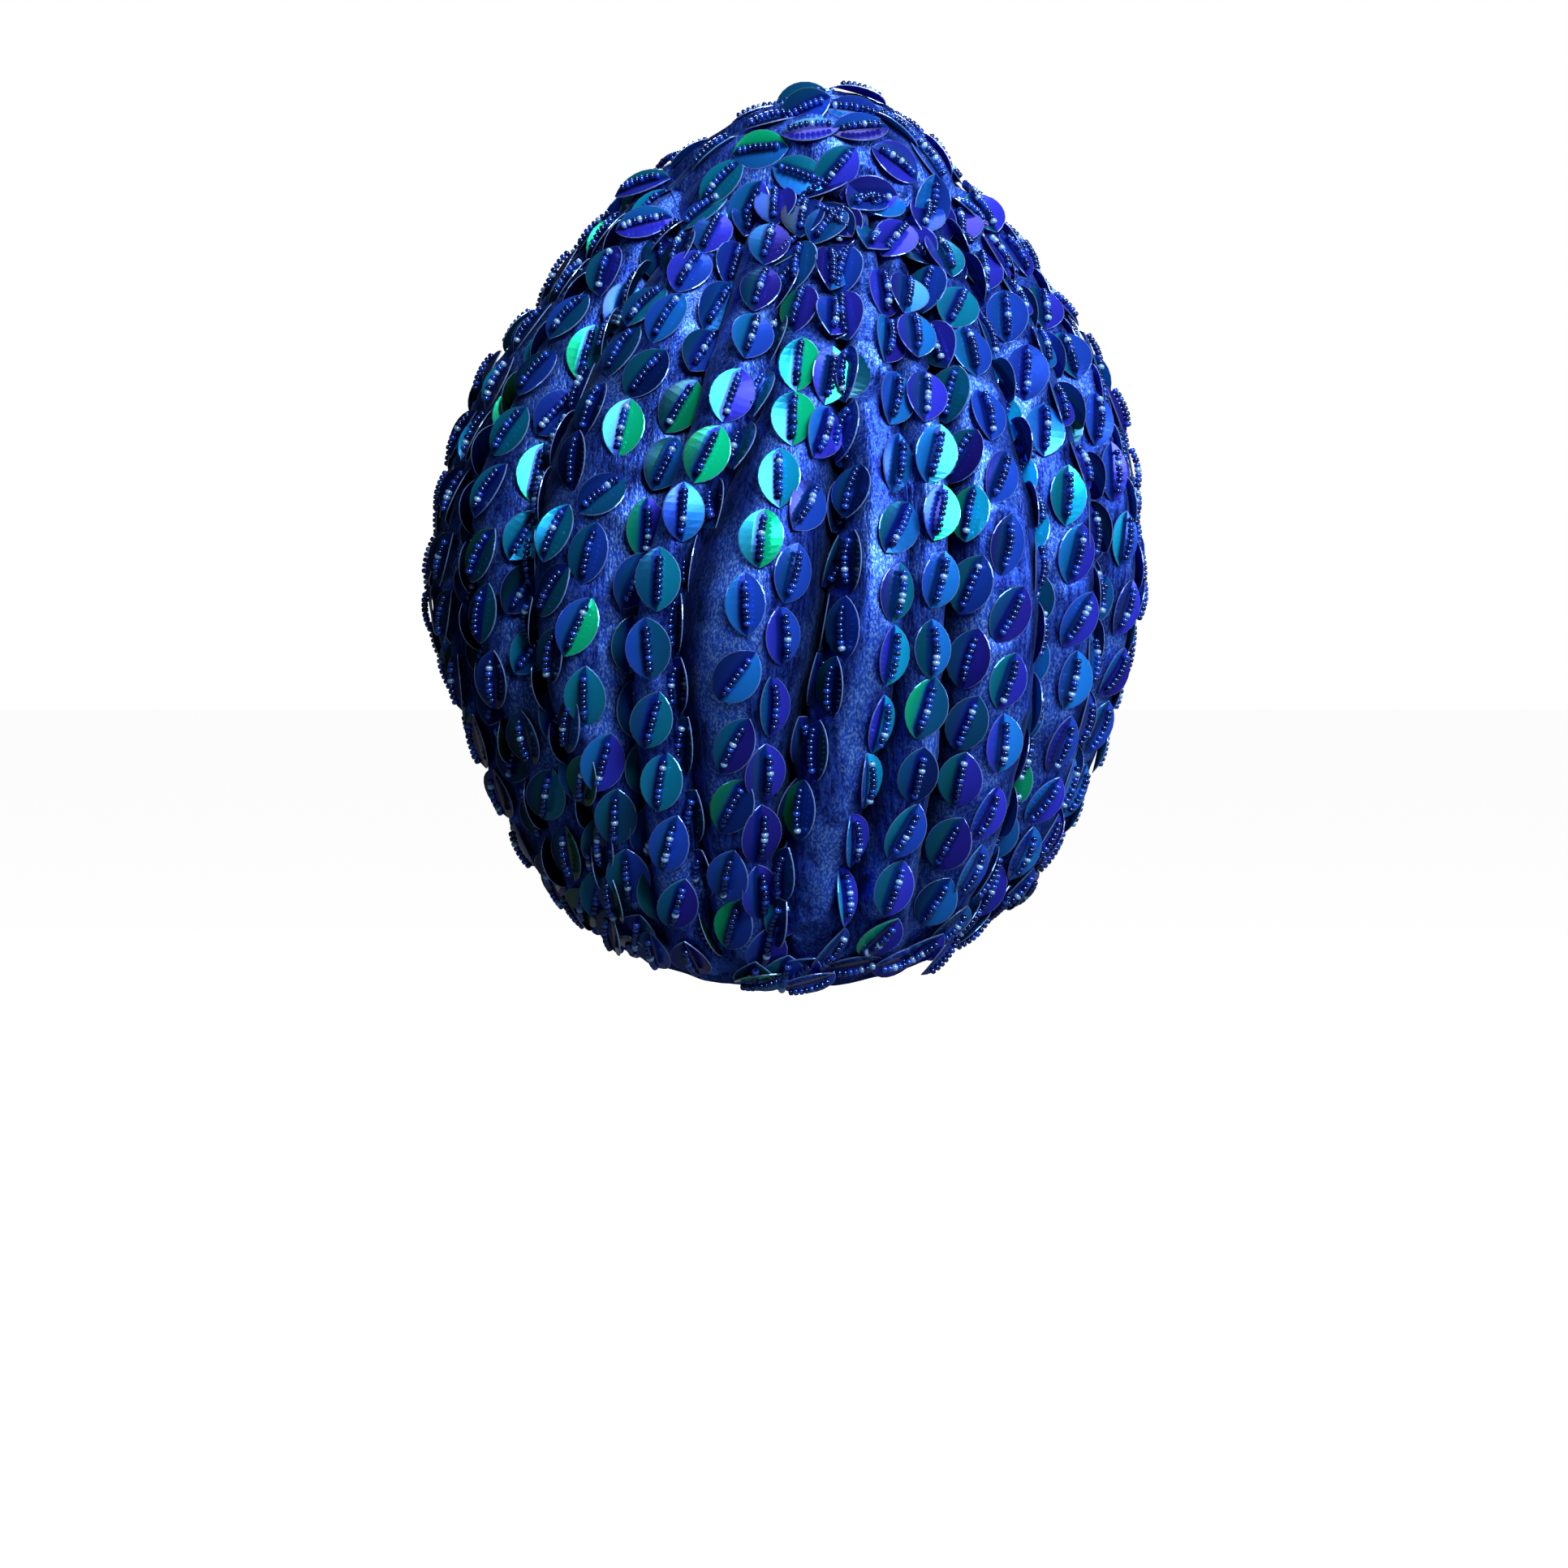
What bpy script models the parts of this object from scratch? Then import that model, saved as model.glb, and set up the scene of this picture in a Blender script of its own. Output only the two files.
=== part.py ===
"""A gathered turban hat of velvet, as it stands when a head holds it.

The frame has its origin at the centre of the head opening. +Z is up, +Y is the way the wearer faces
and +X is the wearer's right, so a view along +Y shows the back, with the nape at the bottom.

The crown is one pleated cloth shell that hangs from the gather at its top and is drawn in at the hem.
Its smooth outer form is a stack of tilted ovals, and a table of creases folds the cloth inwards
between them. The hem band is the plain rolled edge round the head opening. The top tuck is the
bundle of cloth that is folded over the gather and hides it.
"""

import math
from collections import namedtuple

import bmesh
import bpy
import numpy as np
from mathutils import Matrix, Vector

MM = 0.001

# Driving dimensions, in millimetres.
WALL = 2.4
SEAT_GAP = 0.35
CUTTER_FILL = 0.35
OPENING_HALF_WIDTH = 79.0
OPENING_HALF_DEPTH = 98.0
OPENING_TILT_DEG = 22.0
BAND_HEIGHT = 8.0
BAND_THICKNESS = 3.0
BAND_CORNER = 1.2
BAND_INSET = 4.1
BAND_SHOWS = 4.0
BAND_STEPS = 56

# The crown's smooth outer form. Each row is one oval, from the hem to the gather: the height of its
# centre, its half width and half depth, how far its centre is shifted, and how far it tips to the nape.
Section = namedtuple("Section", "height half_width half_depth shift_x shift_y tilt_deg")
SECTIONS = (
    Section(0.0, OPENING_HALF_WIDTH, OPENING_HALF_DEPTH, 0.0, 0.0, OPENING_TILT_DEG),
    Section(6.0, 85.0, 105.0, 0.0, -1.0, 21.5),
    Section(17.0, 94.5, 115.0, 0.0, -3.0, 20.0),
    Section(34.0, 104.0, 123.5, 0.0, -5.0, 17.0),
    Section(54.0, 112.0, 129.5, 0.0, -7.0, 13.0),
    Section(76.0, 117.5, 133.0, -1.0, -8.0, 10.0),
    Section(100.0, 119.0, 133.5, -0.5, -8.0, 7.0),
    Section(124.0, 116.5, 130.0, 1.0, -7.0, 5.0),
    Section(147.0, 110.0, 122.5, 2.5, -5.0, 3.5),
    Section(168.0, 101.0, 113.0, 3.5, -3.0, 2.5),
    Section(187.0, 90.0, 101.0, 4.0, 0.0, 1.5),
    Section(203.0, 78.5, 88.0, 4.5, 2.0, 1.0),
    Section(217.0, 66.0, 74.0, 5.5, 4.0, 0.0),
    Section(229.0, 53.0, 59.0, 7.0, 6.0, 0.0),
    Section(238.5, 39.0, 43.0, 9.5, 8.0, 0.0),
    Section(244.5, 23.0, 26.0, 12.5, 9.0, 0.0),
    Section(247.0, 7.0, 8.0, 14.0, 10.0, 0.0),
)

# The creases, all round the crown from the left side. Azimuths are in degrees from the back, positive
# towards +X, at the first five heights below, and depths in millimetres at the second five, the first
# two of them the same. A crease with a lean above 0 has its steep flank on its right, where the next
# pleat laps over it.
CREASE_HEIGHTS = (0.0, 32.0, 92.0, 168.0, 212.0)
DEPTH_HEIGHTS = (0.0, 6.0, 28.0, 92.0, 180.0)
Crease = namedtuple("Crease", "name hem low mid high top hem_depth low_depth mid_depth high_depth lean")
CREASES = (
    Crease("side_left", -102, -99, -100, -100, -100, 0.8, 7.0, 8.0, 9.0, 0.3),
    Crease("back_left_outer", -78, -74, -79, -80, -76, 0.8, 8.0, 9.0, 9.0, -0.3),
    Crease("back_left_side", -56, -54, -63, -64, -54, 0.8, 6.0, 10.0, 9.0, 0.3),
    Crease("back_left_deep", -40, -37, -47, -47, -35, 0.8, 8.0, 12.0, 10.0, 0.4),
    Crease("back_left_inner", -28, -27, -24, -17, -15, 0.8, 11.0, 10.0, 9.0, 0.3),
    Crease("nape_left", -12, -13, -16, -1, 2, 0.8, 21.0, 14.0, 16.0, 0.6),
    Crease("nape_middle", 1, -1, 8, 9, 9, 0.8, 13.0, 15.0, 14.0, 0.2),
    Crease("nape_right", 9, 12, 19, 18, 18, 0.8, 20.0, 4.0, 6.0, -0.3),
    Crease("back_right_inner", 27, 28, 28, 27, 29, 0.8, 6.0, 8.0, 8.0, 0.0),
    Crease("back_right_deep", 45, 45, 46, 41, 43, 0.8, 8.0, 12.0, 12.0, -0.4),
    Crease("back_right_outer", 65, 66, 65, 58, 62, 0.8, 7.0, 11.0, 12.0, -0.4),
    Crease("side_right", 88, 88, 85, 80, 84, 0.8, 7.0, 8.0, 9.0, 0.2),
    Crease("front_right_outer", 111, 110, 108, 105, 107, 0.8, 7.0, 9.0, 9.0, -0.2),
    Crease("front_right_inner", 134, 133, 130, 129, 129, 0.8, 7.0, 9.0, 9.0, 0.3),
    Crease("front_right_brow", 156, 155, 154, 152, 150, 0.8, 7.0, 9.0, 9.0, -0.2),
    Crease("front_middle", 178, 177, 177, 174, 172, 0.8, 7.0, 10.0, 9.0, 0.2),
    Crease("front_left_brow", 198, 199, 198, 196, 195, 0.8, 7.0, 9.0, 9.0, -0.3),
    Crease("front_left_inner", 218, 219, 220, 218, 218, 0.8, 7.0, 9.0, 9.0, 0.2),
    Crease("front_left_outer", 238, 240, 241, 240, 240, 0.8, 7.0, 9.0, 9.0, -0.2),
)

# Where the mesh has its columns between two creases, as shares of the way across the pleat, and how
# square the pleat's rounded top is.
COLUMN_SHARES = (0.0, 0.1, 0.32, 0.68, 0.9)
ROWS = 22
PLEAT_SQUARENESS = 2.6
LEAN_EFFECT = 0.8
DEPTH_TO_WIDTH = 0.6

# The bundle folded over the gather: an egg lying along the crown's top, with layered folds across it.
TUCK_CENTRE = (15.0, -16.0, 228.5)
TUCK_RADII = (28.0, 49.0, 27.5)
TUCK_TIP_DEG = 24.0
TUCK_FOLD = 2.6
TUCK_FOLDS = 2.4
TUCK_LAP_STEEPNESS = 5.0
TUCK_SEGMENTS = 26
TUCK_RINGS = 24

VELVET_BLUE = (0.016, 0.045, 0.36)
TUCK_BLUE = (0.022, 0.055, 0.42)
HEM_BLUE = (0.010, 0.028, 0.24)
CROWN_ROUGHNESS = 0.75
TUCK_ROUGHNESS = 0.7
HEM_ROUGHNESS = 0.85
VELVET_SHEEN = 0.6
SHARP_DEG = 50.0
SLOPE_STEP = 1e-3


def smooth_value(stations, values, at):
    """The values at the stations, joined by one smooth curve and read at the places in `at`."""
    stations = np.asarray(stations, float)
    values = np.asarray(values, float)
    slopes = np.gradient(values, stations)
    left = np.clip(np.searchsorted(stations, at, side="right") - 1, 0, len(stations) - 2)
    span = stations[left + 1] - stations[left]
    t = (at - stations[left]) / span
    return (
        (1 + 2 * t) * (1 - t) ** 2 * values[left]
        + t * (1 - t) ** 2 * span * slopes[left]
        + t * t * (3 - 2 * t) * values[left + 1]
        + t * t * (t - 1) * span * slopes[left + 1]
    )


def section_stations():
    """How far along the crown's side each section lies, as a share of the way from hem to gather."""
    steps = [
        math.hypot(upper.height - lower.height, upper.half_width - lower.half_width)
        for lower, upper in zip(SECTIONS, SECTIONS[1:])
    ]
    lengths = np.concatenate([[0.0], np.cumsum(steps)])
    return lengths / lengths[-1]


STATIONS = section_stations()
HEIGHTS = [section.height for section in SECTIONS]


def share_at_height(height):
    """The share of the way from hem to gather at which a section's centre has this height."""
    return np.interp(height, HEIGHTS, STATIONS)


def section_column(column, share):
    """One column of the section table, read smoothly along the crown."""
    return smooth_value(STATIONS, [getattr(section, column) for section in SECTIONS], share)


def smooth_form(azimuth, share):
    """Points on the crown's unfolded outer form, for azimuths in radians and shares from hem to gather."""
    across = section_column("half_width", share) * np.sin(azimuth)
    along = -section_column("half_depth", share) * np.cos(azimuth)
    tilt = np.radians(section_column("tilt_deg", share))
    return np.stack(
        [
            across + section_column("shift_x", share),
            along * np.cos(tilt) + section_column("shift_y", share),
            along * np.sin(tilt) + section_column("height", share),
        ],
        axis=-1,
    )


def smooth_normal(azimuth, share):
    """The outward direction of the unfolded form."""
    around = smooth_form(azimuth + SLOPE_STEP, share) - smooth_form(azimuth - SLOPE_STEP, share)
    higher = np.minimum(share + SLOPE_STEP, 1.0)
    lower = np.maximum(share - SLOPE_STEP, 0.0)
    upward = smooth_form(azimuth, higher) - smooth_form(azimuth, lower)
    normal = np.cross(around, upward)
    return normal / np.linalg.norm(normal, axis=-1, keepdims=True)


def crease_azimuth(index, share):
    """A crease's azimuth in radians, counting on round the crown for an index past the table's end."""
    turns, place = divmod(index, len(CREASES))
    crease = CREASES[place]
    stations = share_at_height(np.array(CREASE_HEIGHTS))
    degrees = (crease.hem, crease.low, crease.mid, crease.high, crease.top)
    azimuth = smooth_value(stations, degrees, np.clip(share, 0.0, stations[-1]))
    return np.radians(azimuth + 360.0 * turns)


def crease_depth(index, share):
    """How far a crease is drawn in, in millimetres, held back where its neighbours lie close."""
    crease = CREASES[index % len(CREASES)]
    stations = share_at_height(np.array(DEPTH_HEIGHTS))
    depths = (crease.hem_depth, crease.hem_depth, crease.low_depth, crease.mid_depth, crease.high_depth)
    wanted = smooth_value(stations, depths, np.clip(share, 0.0, stations[-1]))
    between = (crease_azimuth(index + 1, share) - crease_azimuth(index - 1, share)) / 2
    return np.minimum(wanted, DEPTH_TO_WIDTH * section_column("half_width", share) * between)


def folded_form(pleat, across, share, raised=0.0):
    """Points on the crown's pleated outer face, or that far above it, with shallower creases.

    A pleat is numbered by the crease on its left, and `across` runs from 0 at that crease to 1 at the
    next.
    """
    left_azimuth = crease_azimuth(pleat, share)
    right_azimuth = crease_azimuth(pleat + 1, share)
    azimuth = left_azimuth + (right_azimuth - left_azimuth) * across
    on_left = across < 0.5
    depth = np.where(on_left, crease_depth(pleat, share), crease_depth(pleat + 1, share))
    right_lean = CREASES[(pleat + 1) % len(CREASES)].lean
    steepness = 1 + LEAN_EFFECT * np.where(on_left, CREASES[pleat].lean, -right_lean)
    drawn_in = depth * np.abs(2 * across - 1) ** (PLEAT_SQUARENESS * steepness)
    if raised:
        drawn_in = (1 - CUTTER_FILL) * drawn_in - raised
    return smooth_form(azimuth, share) - drawn_in[..., None] * smooth_normal(azimuth, share)


def crown_rings(raised=0.0):
    """Rings of points on the crown's outer face, from the hem to the gather, raised off it if asked."""
    rings = []
    for share in np.linspace(0.0, 1.0, ROWS):
        ring = []
        for pleat in range(len(CREASES)):
            across = np.array(COLUMN_SHARES)
            ring.extend(folded_form(pleat, across, np.full(len(across), share), raised))
        rings.append(ring)
    return rings


def loft(name, rings, close_bottom):
    """A mesh with faces between rings of equal length, closed at the top and, if asked, at the bottom."""
    mesh = bpy.data.meshes.new(name)
    bm = bmesh.new()
    loops = [[bm.verts.new(Vector(point) * MM) for point in ring] for ring in rings]
    for lower, upper in zip(loops, loops[1:]):
        for index in range(len(lower)):
            following = (index + 1) % len(lower)
            bm.faces.new((lower[index], lower[following], upper[following], upper[index]))
    bm.faces.new(loops[-1])
    if close_bottom:
        bm.faces.new(list(reversed(loops[0])))
    bm.normal_update()
    bm.to_mesh(mesh)
    bm.free()
    return bpy.data.objects.new(name, mesh)


def cloth_material(name, colour, roughness):
    """A plain cloth finish in the given colour."""
    material = bpy.data.materials.new(name)
    material.use_nodes = True
    shader = material.node_tree.nodes["Principled BSDF"]
    shader.inputs["Base Color"].default_value = (*colour, 1.0)
    shader.inputs["Roughness"].default_value = roughness
    shader.inputs["Metallic"].default_value = 0.0
    shader.inputs["Sheen Weight"].default_value = VELVET_SHEEN
    return material


def finish(item, material, collection):
    """Puts a mesh object in its collection, gives it its material and shades it smooth."""
    collection.objects.link(item)
    item.data.materials.append(material)
    item.data.shade_smooth()
    item.data.set_sharp_from_angle(angle=math.radians(SHARP_DEG))


def make_crown(collection):
    """The pleated cloth shell, open at the hem, with its wall inside the pleated face."""
    crown = loft("crown", crown_rings(), close_bottom=False)
    wall = crown.modifiers.new("wall", "SOLIDIFY")
    wall.thickness = WALL * MM
    wall.offset = -1.0
    wall.use_even_offset = False
    finish(crown, cloth_material("velvet", VELVET_BLUE, CROWN_ROUGHNESS), collection)


def band_outline():
    """The hem band's cross section as a closed curve, with rounded corners."""
    half_height = BAND_HEIGHT / 2 * MM
    half_thickness = BAND_THICKNESS / 2 * MM
    corner = BAND_CORNER * MM
    points = []
    for side_x, side_y, start_deg in ((1, 1, 0), (-1, 1, 90), (-1, -1, 180), (1, -1, 270)):
        for turn_deg in (0, 90):
            angle = math.radians(start_deg + turn_deg)
            points.append(
                (
                    side_x * (half_thickness - corner) + corner * math.cos(angle),
                    side_y * (half_height - corner) + corner * math.sin(angle),
                )
            )
    return points[::-1]


def closed_curve(name, points, dimensions):
    """A closed curve of straight steps through points in metres."""
    curve = bpy.data.curves.new(name, "CURVE")
    curve.dimensions = dimensions
    spline = curve.splines.new("POLY")
    spline.points.add(len(points) - 1)
    for target, point in zip(spline.points, points):
        target.co = (point[0], point[1], point[2] if len(point) > 2 else 0.0, 1.0)
    spline.use_cyclic_u = True
    return curve


def make_hem_band(collection, guides):
    """The plain rolled edge round the head opening, tucked half way inside the crown's lower edge."""
    profile = bpy.data.objects.new("band_outline", closed_curve("band_outline", band_outline(), "2D"))
    profile.hide_render = True
    profile.display_type = "WIRE"
    guides.objects.link(profile)
    half_width = (OPENING_HALF_WIDTH - BAND_INSET) * MM
    half_depth = (OPENING_HALF_DEPTH - BAND_INSET) * MM
    turns = [2 * math.pi * step / BAND_STEPS for step in range(BAND_STEPS)]
    route = [(half_width * math.cos(turn), half_depth * math.sin(turn)) for turn in turns]
    curve = closed_curve("hem_band", route, "2D")
    curve.bevel_mode = "OBJECT"
    curve.bevel_object = profile
    band = bpy.data.objects.new("hem_band", curve)
    tilt = Matrix.Rotation(math.radians(OPENING_TILT_DEG), 4, "X")
    drop = (BAND_HEIGHT / 2 - BAND_SHOWS) * MM
    band.matrix_world = tilt @ Matrix.Translation((0.0, 0.0, drop))
    collection.objects.link(band)
    curve.materials.append(cloth_material("hem_velvet", HEM_BLUE, HEM_ROUGHNESS))


def make_crown_cutter(guides):
    """The crown's outer face raised by the seat gap and closed below, to cut what lies on it."""
    cutter = loft("crown_cutter", crown_rings(raised=SEAT_GAP), close_bottom=True)
    cutter.hide_render = True
    cutter.display_type = "WIRE"
    guides.objects.link(cutter)
    return cutter


def fold_tuck(bm):
    """Raises layered folds on the bundle, from side to side over it, each lapping over the one behind."""
    for vert in bm.verts:
        along = vert.co.y / TUCK_RADII[1]
        edge = max(0.0, 1.0 - along * along)
        lap = (TUCK_FOLDS * along) % 1.0
        swell = TUCK_FOLD * edge * (1.0 - lap) * min(1.0, TUCK_LAP_STEEPNESS * lap)
        vert.co += vert.co.normalized() * swell


def make_top_tuck(collection, cutter):
    """The bundle of cloth folded over the gather, cut to lie on the crown."""
    bm = bmesh.new()
    bmesh.ops.create_uvsphere(bm, u_segments=TUCK_SEGMENTS, v_segments=TUCK_RINGS, radius=1.0)
    bmesh.ops.transform(bm, matrix=Matrix.Rotation(math.pi / 2, 4, "X"), verts=bm.verts)
    bmesh.ops.scale(bm, vec=Vector(TUCK_RADII), verts=bm.verts)
    fold_tuck(bm)
    turn = Matrix.Rotation(math.radians(TUCK_TIP_DEG), 4, "X")
    bmesh.ops.transform(bm, matrix=turn, verts=bm.verts)
    bmesh.ops.scale(bm, vec=Vector((MM, MM, MM)), verts=bm.verts)
    mesh = bpy.data.meshes.new("top_tuck")
    bm.to_mesh(mesh)
    bm.free()
    tuck = bpy.data.objects.new("top_tuck", mesh)
    tuck.location = Vector(TUCK_CENTRE) * MM
    cut = tuck.modifiers.new("seat_on_crown", "BOOLEAN")
    cut.operation = "DIFFERENCE"
    cut.object = cutter
    finish(tuck, cloth_material("tuck_velvet", TUCK_BLUE, TUCK_ROUGHNESS), collection)


def main():
    """Clears the scene and builds the hat."""
    for item in list(bpy.data.objects):
        bpy.data.objects.remove(item)
    collection = bpy.data.collections.new("turban_hat")
    guides = bpy.data.collections.new("guides")
    bpy.context.scene.collection.children.link(collection)
    bpy.context.scene.collection.children.link(guides)
    make_crown(collection)
    make_hem_band(collection, guides)
    make_top_tuck(collection, make_crown_cutter(guides))


main()
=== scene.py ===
"""Dresses a gathered velvet turban hat with its cloth, leaf sequins and seed beads.

The hat stands as a head holds it. The origin is the centre of the head opening, +Z is up and +Y is the
way the wearer faces, so a view along +Y shows the back of the hat.
"""

import logging
import math
from dataclasses import dataclass, field
from enum import Enum
from itertools import product
from typing import NamedTuple

import bpy
import numpy as np
from mathutils import Matrix, Vector
from mathutils.bvhtree import BVHTree
from mathutils.kdtree import KDTree


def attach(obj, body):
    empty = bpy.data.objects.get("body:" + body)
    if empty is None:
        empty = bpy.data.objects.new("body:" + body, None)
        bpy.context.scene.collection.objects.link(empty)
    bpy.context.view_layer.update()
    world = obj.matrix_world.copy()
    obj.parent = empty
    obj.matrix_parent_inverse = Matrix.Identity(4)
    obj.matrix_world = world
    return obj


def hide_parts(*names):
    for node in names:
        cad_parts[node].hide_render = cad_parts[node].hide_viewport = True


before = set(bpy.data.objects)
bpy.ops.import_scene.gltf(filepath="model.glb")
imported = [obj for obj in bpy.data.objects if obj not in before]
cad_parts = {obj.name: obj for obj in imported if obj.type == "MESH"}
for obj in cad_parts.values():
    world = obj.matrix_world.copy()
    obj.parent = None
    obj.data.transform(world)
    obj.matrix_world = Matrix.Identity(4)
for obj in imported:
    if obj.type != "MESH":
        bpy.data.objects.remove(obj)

LOG = logging.getLogger("turban_hat")
MM = 0.001
Array = np.ndarray
Colour = tuple[float, float, float]
Material, Piece, Socket = bpy.types.Material, bpy.types.Object, bpy.types.NodeSocket
Feed = float | Colour | Socket
Chance = np.random.Generator

WALL = 2.4
OPENING_HALF_WIDTH = 79.0
OPENING_HALF_DEPTH = 98.0
OPENING_TILT_DEG = 22.0


class Section(NamedTuple):
    """One oval of the crown's unfolded form, in millimetres and degrees."""

    height: float
    half_width: float
    half_depth: float
    shift_x: float
    shift_y: float
    tilt_deg: float


class Crease(NamedTuple):
    """One crease: azimuths in degrees from the back and depths in millimetres, both hem first, and its lean."""

    azimuths: tuple[float, ...]
    depths: tuple[float, ...]
    lean: float


SECTIONS = (
    Section(0.0, OPENING_HALF_WIDTH, OPENING_HALF_DEPTH, 0.0, 0.0, OPENING_TILT_DEG),
    Section(6.0, 85.0, 105.0, 0.0, -1.0, 21.5),
    Section(17.0, 94.5, 115.0, 0.0, -3.0, 20.0),
    Section(34.0, 104.0, 123.5, 0.0, -5.0, 17.0),
    Section(54.0, 112.0, 129.5, 0.0, -7.0, 13.0),
    Section(76.0, 117.5, 133.0, -1.0, -8.0, 10.0),
    Section(100.0, 119.0, 133.5, -0.5, -8.0, 7.0),
    Section(124.0, 116.5, 130.0, 1.0, -7.0, 5.0),
    Section(147.0, 110.0, 122.5, 2.5, -5.0, 3.5),
    Section(168.0, 101.0, 113.0, 3.5, -3.0, 2.5),
    Section(187.0, 90.0, 101.0, 4.0, 0.0, 1.5),
    Section(203.0, 78.5, 88.0, 4.5, 2.0, 1.0),
    Section(217.0, 66.0, 74.0, 5.5, 4.0, 0.0),
    Section(229.0, 53.0, 59.0, 7.0, 6.0, 0.0),
    Section(238.5, 39.0, 43.0, 9.5, 8.0, 0.0),
    Section(244.5, 23.0, 26.0, 12.5, 9.0, 0.0),
    Section(247.0, 7.0, 8.0, 14.0, 10.0, 0.0),
)

CREASE_HEIGHTS = (0.0, 32.0, 92.0, 168.0, 212.0)
DEPTH_HEIGHTS = (0.0, 6.0, 28.0, 92.0, 180.0)
HEM_CREASE_DEPTH = 0.8
CREASE_TABLE = {
    "side_left": ((-102, -99, -100, -100, -100), (7.0, 8.0, 9.0), 0.3),
    "back_left_outer": ((-78, -74, -79, -80, -76), (8.0, 9.0, 9.0), -0.3),
    "back_left_side": ((-56, -54, -63, -64, -54), (6.0, 10.0, 9.0), 0.3),
    "back_left_deep": ((-40, -37, -47, -47, -35), (8.0, 12.0, 10.0), 0.4),
    "back_left_inner": ((-28, -27, -24, -17, -15), (11.0, 10.0, 9.0), 0.3),
    "nape_left": ((-12, -13, -16, -1, 2), (21.0, 14.0, 16.0), 0.6),
    "nape_middle": ((1, -1, 8, 9, 9), (13.0, 15.0, 14.0), 0.2),
    "nape_right": ((9, 12, 19, 18, 18), (20.0, 4.0, 6.0), -0.3),
    "back_right_inner": ((27, 28, 28, 27, 29), (6.0, 8.0, 8.0), 0.0),
    "back_right_deep": ((45, 45, 46, 41, 43), (8.0, 12.0, 12.0), -0.4),
    "back_right_outer": ((65, 66, 65, 58, 62), (7.0, 11.0, 12.0), -0.4),
    "side_right": ((88, 88, 85, 80, 84), (7.0, 8.0, 9.0), 0.2),
    "front_right_outer": ((111, 110, 108, 105, 107), (7.0, 9.0, 9.0), -0.2),
    "front_right_inner": ((134, 133, 130, 129, 129), (7.0, 9.0, 9.0), 0.3),
    "front_right_brow": ((156, 155, 154, 152, 150), (7.0, 9.0, 9.0), -0.2),
    "front_middle": ((178, 177, 177, 174, 172), (7.0, 10.0, 9.0), 0.2),
    "front_left_brow": ((198, 199, 198, 196, 195), (7.0, 9.0, 9.0), -0.3),
    "front_left_inner": ((218, 219, 220, 218, 218), (7.0, 9.0, 9.0), 0.2),
    "front_left_outer": ((238, 240, 241, 240, 240), (7.0, 9.0, 9.0), -0.2),
}
CREASES = tuple(
    Crease(azimuths, (HEM_CREASE_DEPTH, HEM_CREASE_DEPTH, *depths), lean)
    for azimuths, depths, lean in CREASE_TABLE.values()
)

# Directions half way between the camera behind the hat and the key or left lamp. Sequin halves that face one of them
# get bright tints: painted glints.
GLINT_SIDES = ((0.19, -0.93, 0.30), (-0.38, -0.89, 0.26))
TRIM_ZONES = {"left": (0, 5), "back": (5, 9), "right": (9, 13), "front": (13, 19), "tuck": (19, 20)}


def smooth_value(stations: Array, values: Array, at: Array) -> Array:
    """Reads values at the stations as one smooth curve.

    Args:
        stations: Rising places along the curve.
        values: The curve's value at each station.
        at: Places to read it at.

    Returns:
        The curve's values at those places.
    """
    slopes = np.gradient(values, stations)
    left = np.clip(np.searchsorted(stations, at, side="right") - 1, 0, len(stations) - 2)
    span = stations[left + 1] - stations[left]
    t = (at - stations[left]) / span
    return (
        (1 + 2 * t) * (1 - t) ** 2 * values[left]
        + t * (1 - t) ** 2 * span * slopes[left]
        + t * t * (3 - 2 * t) * values[left + 1]
        + t * t * (t - 1) * span * slopes[left + 1]
    )


def ease(value: Array, start: float, end: float) -> Array:
    """Rises smoothly from 0 where the value is start to 1 where it is end, or falls where end is the smaller."""
    t = np.clip((value - start) / (end - start), 0.0, 1.0)
    return t * t * (3 - 2 * t)


def soft_noise(points: Array, seed: int) -> Array:
    """Smooth noise from -1 to 1, with about one bump to each unit of length.

    Args:
        points: Places as an array of rows of three.
        seed: Picks the pattern.

    Returns:
        One number for each place.
    """
    size = 32
    lattice = np.random.default_rng(seed).uniform(-1.0, 1.0, (size, size, size))
    base = np.floor(points).astype(int)
    part = points - base
    part = part * part * (3 - 2 * part)
    total = np.zeros(len(points))
    for corner in product((0, 1), repeat=3):
        weight = np.prod(np.where(corner, part, 1 - part), axis=1)
        cell = (base + corner) % size
        total += weight * lattice[cell[:, 0], cell[:, 1], cell[:, 2]]
    return total


def unit(vectors: Array) -> Array:
    """Scales each row of an array to length 1."""
    return vectors / np.maximum(np.linalg.norm(vectors, axis=-1, keepdims=True), 1e-9)


def wrapped(angle: Array) -> Array:
    """Brings angles in radians to between -pi and pi."""
    return (angle + math.pi) % (2 * math.pi) - math.pi


def whole_turn(count: int) -> Array:
    """Evenly spaced angles round one whole turn, in radians."""
    return np.linspace(0, 2 * math.pi, count, endpoint=False)


def on_ring(angle: Array, reach: float, third: Array) -> Array:
    """Places for noise that runs round a ring without a seam, with reach bumps to the radian."""
    return np.stack([np.sin(angle) * reach, np.cos(angle) * reach, third], axis=-1)


def point_tree(points: Array) -> KDTree:
    """Makes a search tree of points.

    Args:
        points: The points in millimetres.

    Returns:
        The tree.
    """
    tree = KDTree(len(points))
    for index, point in enumerate(points):
        tree.insert(point, index)
    tree.balance()
    return tree


class Rumple(NamedTuple):
    """One layer of the cloth's unevenness: height and size in millimetres, seed, and turn in radians."""

    height: float
    size: tuple[float, float, float]
    seed: int
    turn: float = 0.0

    def at(self, place: Array) -> Array:
        """How far the layer stands off the cloth at places on it."""
        return self.height * soft_noise(place @ Matrix.Rotation(self.turn, 3, "Y") / self.size, self.seed)


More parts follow.
